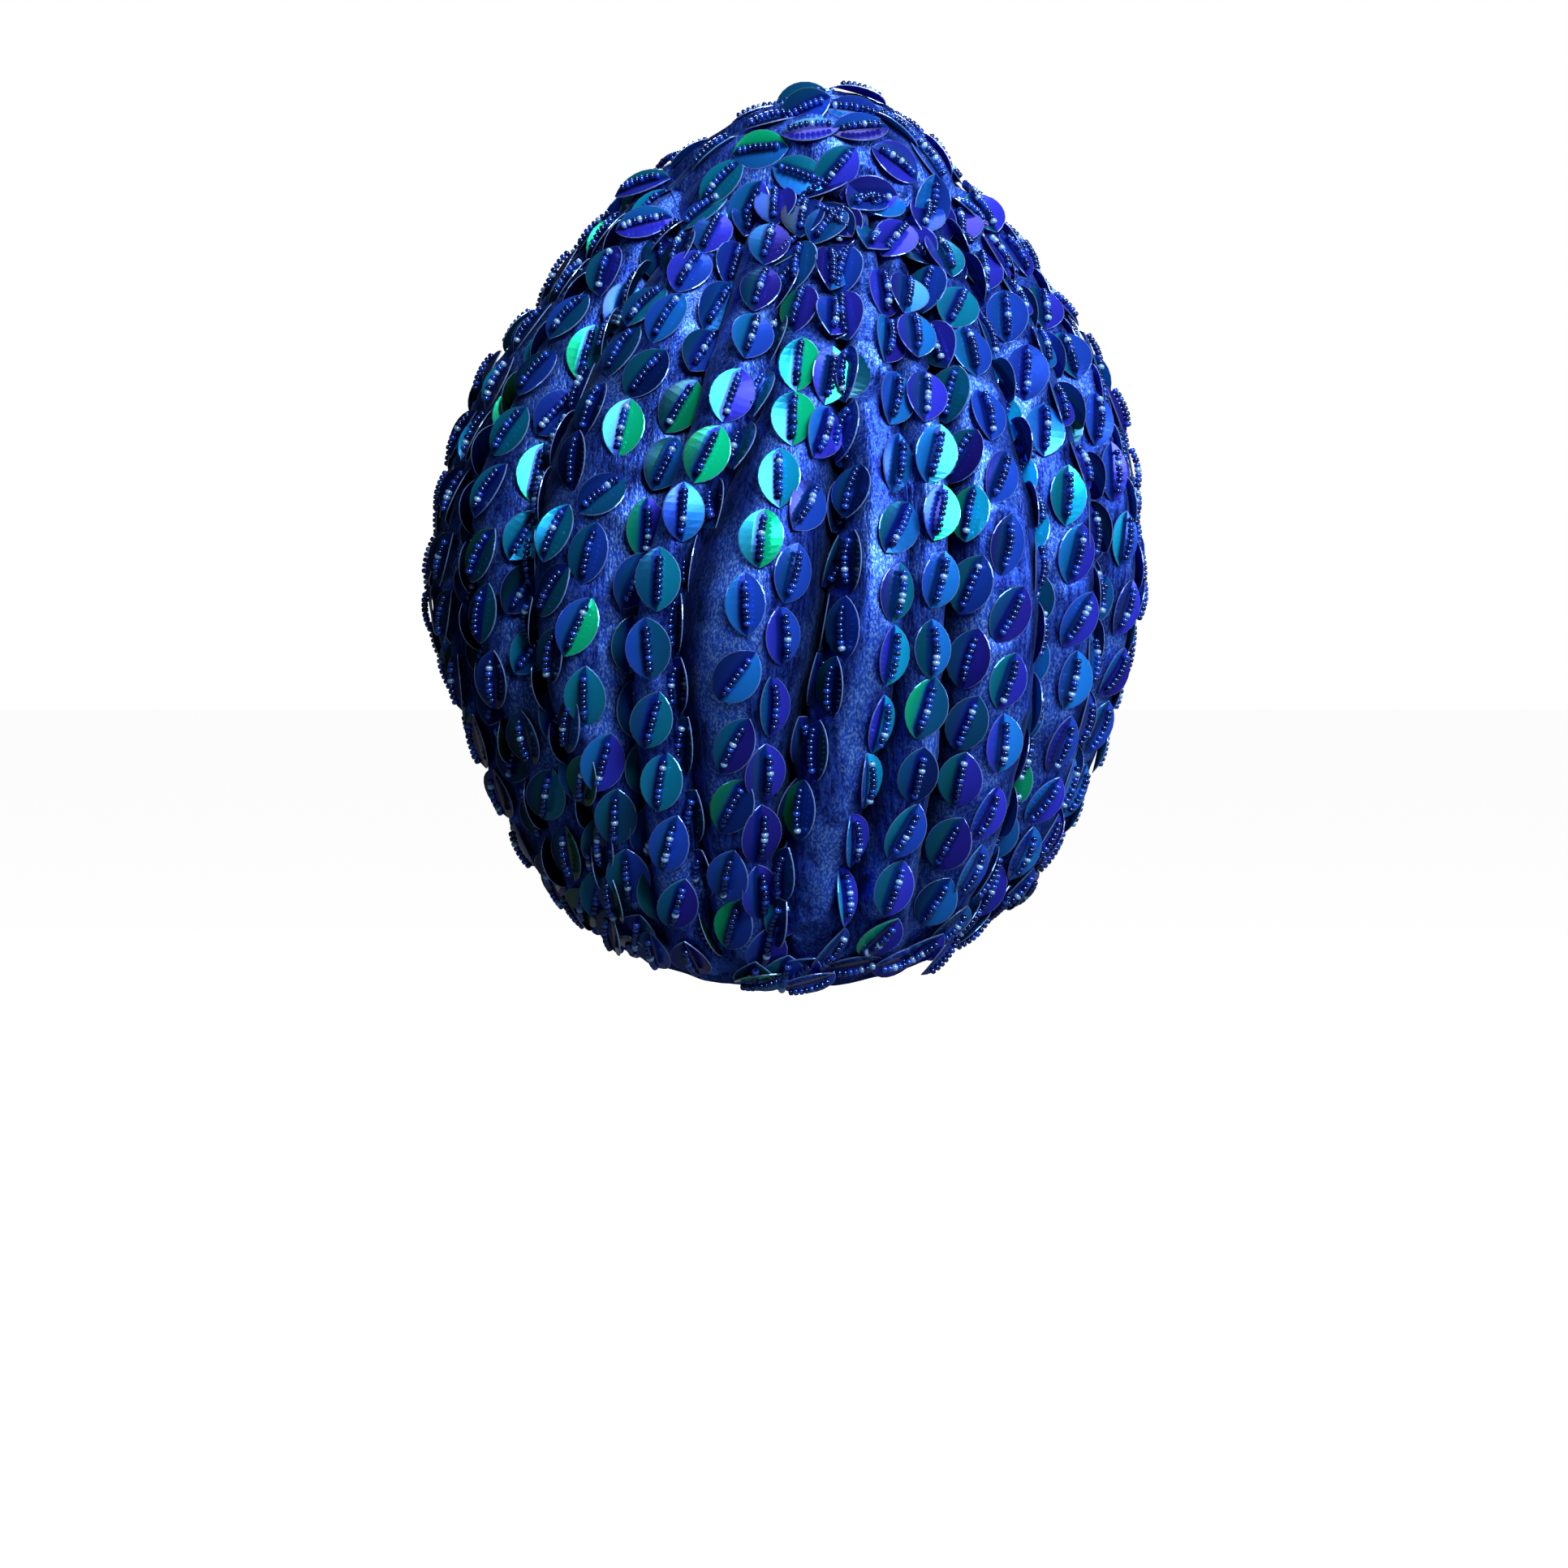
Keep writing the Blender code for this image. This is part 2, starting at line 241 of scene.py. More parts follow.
class Gathers(NamedTuple):
    """Gathers round the crown: bumps round and up it, seed, and heights everywhere, at the gather and at the hem."""

    around: float
    upward: float
    seed: int
    everywhere: float
    at_gather: float
    at_hem: float

    def at(self, azimuth: Array, share: Array, near_gather: Array, near_hem: Array) -> Array:
        """How far the gathers stand off the cloth at places on it."""
        height = self.everywhere + self.at_gather * near_gather + self.at_hem * near_hem
        return soft_noise(on_ring(azimuth, self.around, share * self.upward), self.seed) * height


GATHERS = (Gathers(12.0, 6.5, 11, 0.7, 1.9, 1.1), Gathers(27.0, 13.0, 12, 0.25, 0.8, 0.7))
LUMPS = Rumple(1.9, (24.0, 24.0, 40.0), 13)
DRAGS = Rumple(0.9, (10.0, 14.0, 24.0), 14, 0.6)
RIDGES = Rumple(1.0, (13.0, 13.0, 34.0), 16, -0.35)
RIDGED_PATCHES = Rumple(1.0, (38.0, 38.0, 38.0), 17)
PILE = Rumple(0.14, (4.2, 4.2, 4.2), 15)


@dataclass
class CrownForm:
    """The crown's cloth surface in millimetres, as a function of azimuth and of share from hem to gather."""

    squareness: float = 2.4
    lean_effect: float = 0.8
    depth_to_width: float = 0.7
    lap: float = 11.0
    lap_reach: float = 3.0
    deepening: float = 1.5
    lapped_from: float = 3.0
    lapped_over: float = 9.0
    calm_in_creases: float = 0.55
    wrinkle: float = 1.7
    wrinkle_sharpness: int = 6
    wrinkled: tuple[float, float] = (-0.25, 0.35)
    crumpled_width: float = 45.0
    gather_shares: tuple[float, float] = (0.66, 0.95)
    hem_shares: tuple[float, float] = (0.14, 0.0)
    shoulder: float = 2.6
    shoulder_deg: float = -82.0
    shoulder_share: float = 0.85
    shoulder_reach: tuple[float, float] = (0.75, 0.09)
    # Where and how strongly the cloth's painted shadow under the bundle's lip, painted shade in the creases and on
    # the left flank, and painted highlight on crumpled ridges fall.
    hollow_deg: float = 5.0
    hollow_share: float = 0.765
    hollow_reach: tuple[float, float] = (15.0, 0.085)
    hollow_by: float = 0.86
    creased_depth: float = 11.0
    creased_shares: tuple[float, float] = (0.42, 0.98)
    creased_by: float = 0.94
    shaded_deg: float = -80.0
    shaded_reach: tuple[float, float] = (55.0, 25.0)
    shaded_by: float = 0.34
    crumple_lit_by: float = 0.3
    crumple_height: float = 2.4
    trim_room: tuple[float, ...] = (1.0, 3.2, 2.6, 2.4, 4.2, 6.0, 6.5, 6.5)
    stations: Array = field(init=False)
    grid: Array = field(init=False)
    azimuths: Array = field(init=False)
    depths: Array = field(init=False)

    def __post_init__(self) -> None:
        """Works out the creases on a fine grid of shares, once."""
        steps = [math.hypot(b.height - a.height, b.half_width - a.half_width) for a, b in zip(SECTIONS, SECTIONS[1:])]
        lengths = np.concatenate([[0.0], np.cumsum(steps)])
        self.stations = lengths / lengths[-1]
        heights = [section.height for section in SECTIONS]
        places = np.interp(CREASE_HEIGHTS, heights, self.stations)
        depth_places = np.interp(DEPTH_HEIGHTS, heights, self.stations)
        self.grid = np.linspace(0.0, 1.0, 501)
        held = np.clip(self.grid, 0.0, places[-1])
        rows = [smooth_value(places, np.array(crease.azimuths, float), held) for crease in CREASES]
        self.azimuths = np.radians(np.array(rows + [rows[0] + 360.0]))
        between = (np.roll(self.azimuths[:-1], -1, axis=0) - np.roll(self.azimuths[:-1], 1, axis=0)) / 2
        between = np.where(between < 0, between + math.pi, between)
        most = self.depth_to_width * self.column("half_width", self.grid) * between
        held = np.clip(self.grid, 0.0, depth_places[-1])
        wanted = [smooth_value(depth_places, np.array(crease.depths, float), held) for crease in CREASES]
        limited = np.minimum(np.array(wanted) * self.deepening, most)
        self.depths = np.concatenate([limited, limited[:1]])

    def column(self, name: str, share: Array) -> Array:
        """One column of the section table, read smoothly at shares of the way from hem to gather."""
        values = np.array([getattr(section, name) for section in SECTIONS], float)
        return smooth_value(self.stations, values, share)

    def smooth(self, azimuth: Array, share: Array) -> Array:
        """Points on the unfolded form.

        Args:
            azimuth: Radians from the back, positive towards +X.
            share: Shares of the way from hem to gather.

        Returns:
            Points in millimetres.
        """
        across = self.column("half_width", share) * np.sin(azimuth)
        along = -self.column("half_depth", share) * np.cos(azimuth)
        tilt = np.radians(self.column("tilt_deg", share))
        return np.stack(
            [
                across + self.column("shift_x", share),
                along * np.cos(tilt) + self.column("shift_y", share),
                along * np.sin(tilt) + self.column("height", share),
            ],
            axis=-1,
        )

    def outward(self, azimuth: Array, share: Array) -> Array:
        """The outward direction of the unfolded form.

        Args:
            azimuth: Radians from the back.
            share: Shares of the way from hem to gather.

        Returns:
            One unit vector for each place.
        """
        step = 1e-3
        around = self.smooth(azimuth + step, share) - self.smooth(azimuth - step, share)
        above, below = np.minimum(share + step, 1.0), np.maximum(share - step, 0.0)
        return unit(np.cross(around, self.smooth(azimuth, above) - self.smooth(azimuth, below)))

    def crumple(self, azimuth: Array, share: Array) -> Array:
        """How far the crumpled cloth stands off its clean folds, in millimetres.

        Args:
            azimuth: Radians from the back.
            share: Shares of the way from hem to gather.

        Returns:
            Heights, below zero where the cloth sinks.
        """
        place = self.smooth(azimuth, share)
        near_gather, near_hem = ease(share, *self.gather_shares), ease(share, *self.hem_shares)
        gathers = sum(layer.at(azimuth, share, near_gather, near_hem) for layer in GATHERS)
        ridges = 1 - np.abs(RIDGES.at(place))
        wrinkles = self.wrinkle * ridges**self.wrinkle_sharpness * ease(RIDGED_PATCHES.at(place), *self.wrinkled)
        uneven = gathers + LUMPS.at(place) + DRAGS.at(place) + wrinkles
        room = np.minimum(1.0, self.column("half_width", share) / self.crumpled_width)
        aside = wrapped(azimuth - math.radians(self.shoulder_deg)) / self.shoulder_reach[0]
        upward = (share - self.shoulder_share) / self.shoulder_reach[1]
        fuller = self.shoulder * np.exp(-(aside**2) - upward**2)
        return room * uneven + PILE.at(place) + fuller

    def drawn_in(self, share: Array) -> Array:
        """How far the cloth stays inside the hat's outline, to leave room for the trim, in millimetres."""
        return np.interp(share, np.linspace(0.0, 1.0, len(self.trim_room)), self.trim_room)

    def edges(self, share: Array) -> Array:
        """The azimuth of every crease at the shares, the first one again at the end."""
        return np.stack([np.interp(share, self.grid, row) for row in self.azimuths])

    def pleat_at(self, azimuth: Array, share: Array) -> tuple[Array, Array, Array, Array]:
        """Finds where places lie in their pleats.

        Args:
            azimuth: Radians from the back.
            share: Shares of the way from hem to gather.

        Returns:
            The pleat's number, the share of the way across it, its width in millimetres, and the depth
            of the nearer crease.
        """
        edges = self.edges(share)
        turned = edges[0] + np.mod(azimuth - edges[0], 2 * math.pi)
        pleat = np.clip((turned[None, :] >= edges).sum(axis=0) - 1, 0, len(CREASES) - 1)
        index = np.arange(len(azimuth))
        left, right = edges[pleat, index], edges[pleat + 1, index]
        across = (turned - left) / (right - left)
        width = self.column("half_width", share) * (right - left)
        deep = np.stack([np.interp(share, self.grid, row) for row in self.depths])
        depth = np.where(across < 0.5, deep[pleat, index], deep[pleat + 1, index])
        return pleat, across, width, depth

    def folded(self, azimuth: Array, share: Array, inset: float = 0.0, crumpled: bool = True) -> Array:
        """Points on the folded cloth.

        Args:
            azimuth: Radians from the back.
            share: Shares of the way from hem to gather.
            inset: How far inside the outer face, in millimetres.
            crumpled: Whether the small creases are added.

        Returns:
            Points in millimetres.
        """
        pleat, across, width, depth = self.pleat_at(azimuth, share)
        leans = np.array([crease.lean for crease in CREASES] + [CREASES[0].lean])
        on_left = across < 0.5
        lean = np.where(on_left, leans[pleat], -leans[pleat + 1])
        fall = np.abs(2 * across - 1) ** (self.squareness * (1 + self.lean_effect * lean))
        off_crease = np.where(on_left, across, 1 - across) * width / self.lap_reach
        strength = self.lap * np.maximum(lean, 0.0) * np.clip((depth - self.lapped_from) / self.lapped_over, 0.0, 1.2)
        slide = strength * off_crease * np.exp(1 - off_crease)
        shifted = azimuth - np.where(on_left, 1.0, -1.0) * slide / self.column("half_width", share)
        raise_by = -depth * fall - inset - self.drawn_in(share)
        if crumpled:
            raise_by = raise_by + self.crumple(azimuth, share) * (1 - self.calm_in_creases * fall)
        return self.smooth(shifted, share) + raise_by[:, None] * self.outward(shifted, share)

    def shade(self, azimuth: Array, share: Array) -> Array:
        """Painted light and shade on the cloth: about 1 on the ridges, darker in the creases, under the bundle's lip
        and on the left flank, and lighter on crumpled ridges.

        Args:
            azimuth: Radians from the back.
            share: Shares of the way from hem to gather.

        Returns:
            Numbers that the cloth's colour is multiplied by.
        """
        _, across, _, depth = self.pleat_at(azimuth, share)
        # Painted shade, darker towards each crease.
        steep = np.clip(depth / self.creased_depth, 0.2, 1.0)
        creased = 1 - self.creased_by * steep * ease(np.abs(2 * across - 1), *self.creased_shares)
        # Painted shadow in the hollow under the bundle's lip.
        aside = np.degrees(wrapped(azimuth - math.radians(self.hollow_deg))) / self.hollow_reach[0]
        upward = (share - self.hollow_share) / self.hollow_reach[1]
        hollow = 1 - self.hollow_by * np.exp(-(aside**2) - upward**2)
        # Painted shade on the left flank, the side away from the key lamp.
        turned = np.abs(np.degrees(wrapped(azimuth - math.radians(self.shaded_deg))))
        nap = 1 - self.shaded_by * ease(turned, *self.shaded_reach)
        # Painted highlight: lighter where the crumpled cloth stands out.
        raised = np.clip(self.crumple(azimuth, share) / self.crumple_height, -1.0, 1.2)
        return nap * hollow * creased * (1 + self.crumple_lit_by * raised)


def make_mesh(name: str, points: Array, faces: list | Array, material: Material, smooth: bool = True) -> Piece:
    """Makes one mesh object.

    Args:
        name: The piece's name.
        points: Points in millimetres.
        faces: Corner numbers of each face.
        material: The piece's finish.
        smooth: Whether its faces are shaded smooth.

    Returns:
        The linked object.
    """
    mesh = bpy.data.meshes.new(name)
    mesh.from_pydata((np.asarray(points) * MM).tolist(), [], [list(map(int, face)) for face in faces])
    mesh.update()
    mesh.materials.append(material)
    if smooth:
        mesh.shade_smooth()
    piece = bpy.data.objects.new(name, mesh)
    bpy.context.scene.collection.objects.link(piece)
    return piece


def grid_faces(rows: int, columns: int, closed: bool) -> Array:
    """Faces between rows of points.

    Args:
        rows: How many rows there are.
        columns: How many points each row has.
        closed: Whether each row joins round to its first point.

    Returns:
        Corner numbers of each face.
    """
    wide = columns if closed else columns - 1
    row, column = np.meshgrid(np.arange(rows - 1), np.arange(wide), indexing="ij")
    row, column = row.ravel(), column.ravel()
    following = (column + 1) % columns
    low, high = row * columns, (row + 1) * columns
    return np.stack([low + column, low + following, high + following, high + column], axis=1)


def zipped(lower: int, lower_count: int, upper: int, upper_count: int) -> list[list[int]]:
    """Faces between two rings, of which the upper has more points.

    Args:
        lower: The lower ring's first point.
        lower_count: How many points it has.
        upper: The upper ring's first point.
        upper_count: How many points it has.

    Returns:
        Corner numbers of each face.
    """
    faces = []
    for index in range(upper_count):
        here, there = index * lower_count // upper_count, (index + 1) * lower_count // upper_count
        following = upper + (index + 1) % upper_count
        faces.append([lower + here, following, upper + index])
        if there != here:
            faces.append([lower + here, lower + there % lower_count, following])
    return faces


def colour_points(piece: Piece, name: str, point_colours: Array) -> None:
    """Stores a colour for each point of a piece.

    Args:
        piece: The piece.
        name: The attribute's name.
        point_colours: Red, green and blue for each point, or one grey.
    """
    layer = piece.data.color_attributes.new(name, "FLOAT_COLOR", "POINT")
    full = np.ones((len(point_colours), 4), np.float32)
    full[:, :3] = point_colours
    layer.data.foreach_set("color", full.ravel())


class NoiseLayer(NamedTuple):
    """One layer of a finish: bumps to the metre, finer layers, upright stretch, and its ramp's start and end."""

    scale: float
    detail: float
    upright: float = 1.0
    low: float = 0.0
    high: float = 1.0


class NodeRecipe:
    """Adds nodes to one material or world and joins them up."""

    def __init__(self, tree: bpy.types.NodeTree) -> None:
        """Starts from the nodes that the tree already has."""
        self.tree = tree

    def feed(self, node: bpy.types.Node, inputs: dict[str | int, Feed]) -> None:
        """Sets or links a node's inputs.

        Args:
            node: The node.
            inputs: What goes into each input: a number, a colour or another node's socket.
        """
        for key, value in inputs.items():
            socket = node.inputs[key]
            if isinstance(value, Socket):
                self.tree.links.new(value, socket)
            else:
                socket.default_value = (*value, 1.0) if socket.type == "RGBA" else value

    def dress(self, inputs: dict[str | int, Feed]) -> None:
        """Sets or links the inputs of a material's shader."""
        self.feed(self.tree.nodes["Principled BSDF"], inputs)

    def add(self, kind: str, output: str | int, inputs: dict[str | int, Feed], **settings: str) -> Socket:
        """Adds one node.

        Args:
            kind: The node's kind, without ShaderNode.
            output: The output that is wanted.
            inputs: What goes into each input.
            settings: The node's own settings.

        Returns:
            The node's output socket.
        """
        node = self.tree.nodes.new(f"ShaderNode{kind}")
        for key, value in settings.items():
            setattr(node, key, value)
        self.feed(node, inputs)
        return node.outputs[output]

    def noise(self, layer: NoiseLayer) -> Socket:
        """Adds the noise of one layer, in the piece's own axes.

        Args:
            layer: The layer.

        Returns:
            The noise's output socket.
        """
        place = self.add("TexCoord", "Object", {})
        stretched = self.add("Mapping", "Vector", {"Scale": (1.0, 1.0, layer.upright), "Vector": place})
        values = {"Scale": layer.scale, "Detail": layer.detail, "Distortion": 0.4, "Vector": stretched}
        return self.add("TexNoise", "Fac", values)

    def ramp(self, socket: Socket, layer: NoiseLayer) -> Socket:
        """Adds a smooth ramp over the values that a layer names."""
        values = {"From Min": layer.low, "From Max": layer.high, "Value": socket}
        return self.add("MapRange", "Result", values, interpolation_type="SMOOTHSTEP")

    def spread(self, socket: Socket, low: float, high: float) -> Socket:
        """Turns a socket's 0 to 1 into low to high."""
        return self.add("MapRange", "Result", {"Value": socket, "To Min": low, "To Max": high})

    def times(self, first: Socket, second: Feed) -> Socket:
        """Multiplies a socket by a number or by another socket."""
        return self.add("Math", 0, {0: first, 1: second}, operation="MULTIPLY")

    def mix(self, factor: Socket, first: Feed, second: Feed, most: float) -> Socket:
        """Mixes two colours, with up to most of the second where the factor is 1."""
        return self.add("Mix", 2, {0: self.times(factor, most), 6: first, 7: second}, data_type="RGBA")


def new_material(name: str) -> tuple[Material, NodeRecipe]:
    """Makes a material with its shader.

    Args:
        name: The material's name.

    Returns:
        The material, and the recipe of its nodes.
    """
    material = bpy.data.materials.new(name)
    material.use_nodes = True
    return material, NodeRecipe(material.node_tree)


@dataclass(frozen=True)
class VelvetFinish:
    """Crushed velvet: a deep colour in the pile, a paler one where the nap catches light."""

    name: str = "crushed_velvet"
    deep: Colour = (0.003, 0.009, 0.17)
    lit: Colour = (0.026, 0.115, 0.80)
    pale: Colour = (0.20, 0.42, 1.0)
    roughness: float = 0.37
    sheen: float = 0.1
    bump: float = 0.5
    metallic: float = 0.78
    sheen_tint: Colour = (0.25, 0.48, 1.0)
    gloss_tint: Colour = (0.2, 0.45, 1.0)
    coarse_nap: float = 0.0006
    fine_nap: float = 0.0003
    crush: NoiseLayer = NoiseLayer(62.0, 5.0, 0.45, 0.42, 0.66)
    streak: NoiseLayer = NoiseLayer(700.0, 3.0, 0.12, 0.38, 0.66)
    pile: NoiseLayer = NoiseLayer(1500.0, 3.0, 0.6, 0.46, 0.62)

    def make(self) -> Material:
        """Makes the material.

        Returns:
            The material with its nap, crush marks and sheen.
        """
        material, recipe = new_material(self.name)
        crush, streak, pile = (recipe.noise(layer) for layer in (self.crush, self.streak, self.pile))
        crushed = recipe.ramp(crush, self.crush)
        body = recipe.mix(crushed, self.deep, self.lit, 0.8)
        napped = recipe.mix(recipe.ramp(streak, self.streak), body, self.lit, 0.45)
        grain = recipe.add("Math", 0, {0: crushed, 1: 0.8, 2: 0.12}, operation="MULTIPLY_ADD")
        catching = recipe.times(recipe.ramp(pile, self.pile), grain)
        speckled = recipe.mix(catching, napped, self.pale, 0.8)
        # Multiplies the cloth's stored painted light and shade into its colour.
        shade = recipe.add("Attribute", "Color", {}, attribute_name="shade")
        shaded = recipe.add("Mix", 2, {0: 1.0, 6: speckled, 7: shade}, data_type="RGBA", blend_type="MULTIPLY")
        raised = recipe.add("Bump", "Normal", {"Strength": self.bump, "Distance": self.coarse_nap, "Height": streak})
        values = {"Strength": self.bump, "Distance": self.fine_nap, "Height": pile, "Normal": raised}
        recipe.dress(
            {
                "Base Color": shaded,
                "Roughness": recipe.spread(streak, self.roughness - 0.1, self.roughness + 0.16),
                "Normal": recipe.add("Bump", "Normal", values),
                "Metallic": self.metallic,
                "Sheen Weight": self.sheen,
                "Sheen Roughness": 0.32,
                "Sheen Tint": self.sheen_tint,
                "Specular IOR Level": 0.3,
                "Specular Tint": self.gloss_tint,
            }
        )
        return material


@dataclass(frozen=True)
class TintedGlossFinish:
    """A glossy finish whose colour is stored on the mesh, for the sequins and the beads."""

    name: str
    metallic: float
    roughness: float
    coat: float
    gloss: float = 0.5
    ior: float = 1.5
    gloss_tint: Colour = (1.0, 1.0, 1.0)
    scuff: NoiseLayer = NoiseLayer(900.0, 2.0)

    def make(self) -> Material:
        """Makes the material.

        Returns:
            The material, which reads the piece's stored tint and adds fine wear to its gloss.
        """
        material, recipe = new_material(self.name)
        scuff = recipe.noise(self.scuff)
        recipe.dress(
            {
                "Roughness": recipe.spread(scuff, self.roughness * 0.7, self.roughness * 1.5),
                "Base Color": recipe.add("Attribute", "Color", {}, attribute_name="tint"),
                "Metallic": self.metallic,
                "Coat Weight": self.coat,
                "Coat Roughness": 0.06,
                "Specular Tint": self.gloss_tint,
                "IOR": self.ior,
                "Specular IOR Level": self.gloss,
            }
        )
        return material


VELVET_BACKING = VelvetFinish(
    name="velvet_backing",
    deep=(0.004, 0.012, 0.10),
    lit=(0.012, 0.035, 0.22),
    pale=(0.03, 0.07, 0.34),
    roughness=0.7,
    sheen=0.2,
    bump=0.2,
    metallic=0.0,
)
SEQUIN_GLOSS = TintedGlossFinish(name="sequin_gloss", metallic=0.46, roughness=0.18, coat=0.05, gloss=0.1)
BEAD_GLASS = TintedGlossFinish(
    name="bead_glass", metallic=0.3, roughness=0.08, coat=0.0, ior=2.3, gloss_tint=(0.3, 0.56, 1.0)
)


class CrownSide(Enum):
    """The two faces of the crown's cloth."""

    OUTER = "outer"
    LINING = "lining"


@dataclass
class CrownCloth:
    """The pleated crown: an outer velvet face turned under at the hem, and the face inside."""

    form: CrownForm
    velvet: Material
    backing: Material
    rows: int = 182
    columns: int = 23
    lining_rows: int = 70
    lining_columns: int = 8
    turn_rows: int = 5
    crowding: float = 0.105
    # Painted shade on the turned-under hem.
    hem_shade: float = 0.5
    flat: tuple[float, float] = (0.668, 0.372)

    def azimuths(self, share: float, columns: int) -> Array:
        """Azimuths of one ring of points, close together at the creases.

        Args:
            share: Share of the way from hem to gather.
            columns: How many points each pleat has.

        Returns:
            Azimuths in radians, all round the crown.
        """
        edges = self.form.edges(share)
        t = np.arange(columns) / columns
        across = t - self.crowding * np.sin(2 * math.pi * t)
        return (edges[:-1, None] + (edges[1:] - edges[:-1])[:, None] * across).ravel()

    def places(self, side: CrownSide) -> tuple[Array, Array, int]:
        """Where the points of one face lie, ring by ring from the hem.

        Args:
            side: The outer face or the lining.

        Returns:
            Each point's azimuth and share, and the number in a ring.
        """
        outer = side is CrownSide.OUTER
        rows, columns = (self.rows, self.columns) if outer else (self.lining_rows, self.lining_columns)
        shares = np.linspace(0.0, 1.0, rows)
        azimuth = np.concatenate([self.azimuths(share, columns) for share in shares])
        wide = columns * len(CREASES)
        return azimuth, np.repeat(shares, wide), wide

    def turned_hem(self, ring: Array, above: Array) -> Array:
        """Rings that turn the outer face under and up inside the hem.

        Args:
            ring: The outer face's lowest ring.
            above: The ring above it.

        Returns:
            Points of the turned rings, the innermost first.
        """
        down = unit(ring - above)
        around = unit(np.roll(ring, -1, axis=0) - np.roll(ring, 1, axis=0))
        inward = -unit(np.cross(around, -down))
        radius = WALL / 2
        rings = []
        for step in range(self.turn_rows, 0, -1):
            angle = math.pi * step / self.turn_rows
            rings.append(ring + inward * radius * (1 - math.cos(angle)) + down * radius * math.sin(angle))
        return np.concatenate(rings)

    def outer_points(self) -> tuple[Array, int]:
        """Works out the outer face with its turned hem.

        Returns:
            Its points ring by ring from the hem, and the number in each ring.
        """
        azimuth, share, wide = self.places(CrownSide.OUTER)
        points = self.form.folded(azimuth, share)
        turned = self.turned_hem(points[:wide], points[wide : 2 * wide])
        return np.concatenate([turned, points]), wide

    def make(self, outer: Array, wide: int) -> Piece:
        """Makes the cloth: its velvet face, the turned hem and the face inside.

        Args:
            outer: The velvet face's finished points, ring by ring from the hem.
            wide: How many points a ring has.

        Returns:
            The piece.
        """
        azimuth, share, inner_wide = self.places(CrownSide.LINING)
        lining = self.form.folded(azimuth, share, WALL)
        count, total = len(outer), len(outer) + len(lining)
        faces = grid_faces(count // wide, wide, True).tolist()
        faces.append(list(range(count - wide, count)))
        faces += zipped(count, inner_wide, 0, wide)
        velvet_faces = len(faces)
        faces += (grid_faces(self.lining_rows, inner_wide, True)[:, ::-1] + count).tolist()
        faces.append(list(range(total - 1, total - inner_wide - 1, -1)))
        piece = make_mesh("crown_cloth", np.concatenate([outer, lining]), faces, self.velvet)
        piece.data.materials.append(self.backing)
        side = np.zeros(len(faces), np.int32)
        side[velvet_faces:] = 1
        piece.data.polygons.foreach_set("material_index", side)
        azimuth, share, _ = self.places(CrownSide.OUTER)
        shade = np.ones(total)
        # Painted shade on the turned-under hem, and the cloth's painted light and shade above it.
        shade[: count - len(share)] = self.hem_shade
        shade[count - len(share) : count] = self.form.shade(azimuth, share)
        colour_points(piece, "shade", shade[:, None])
        return piece


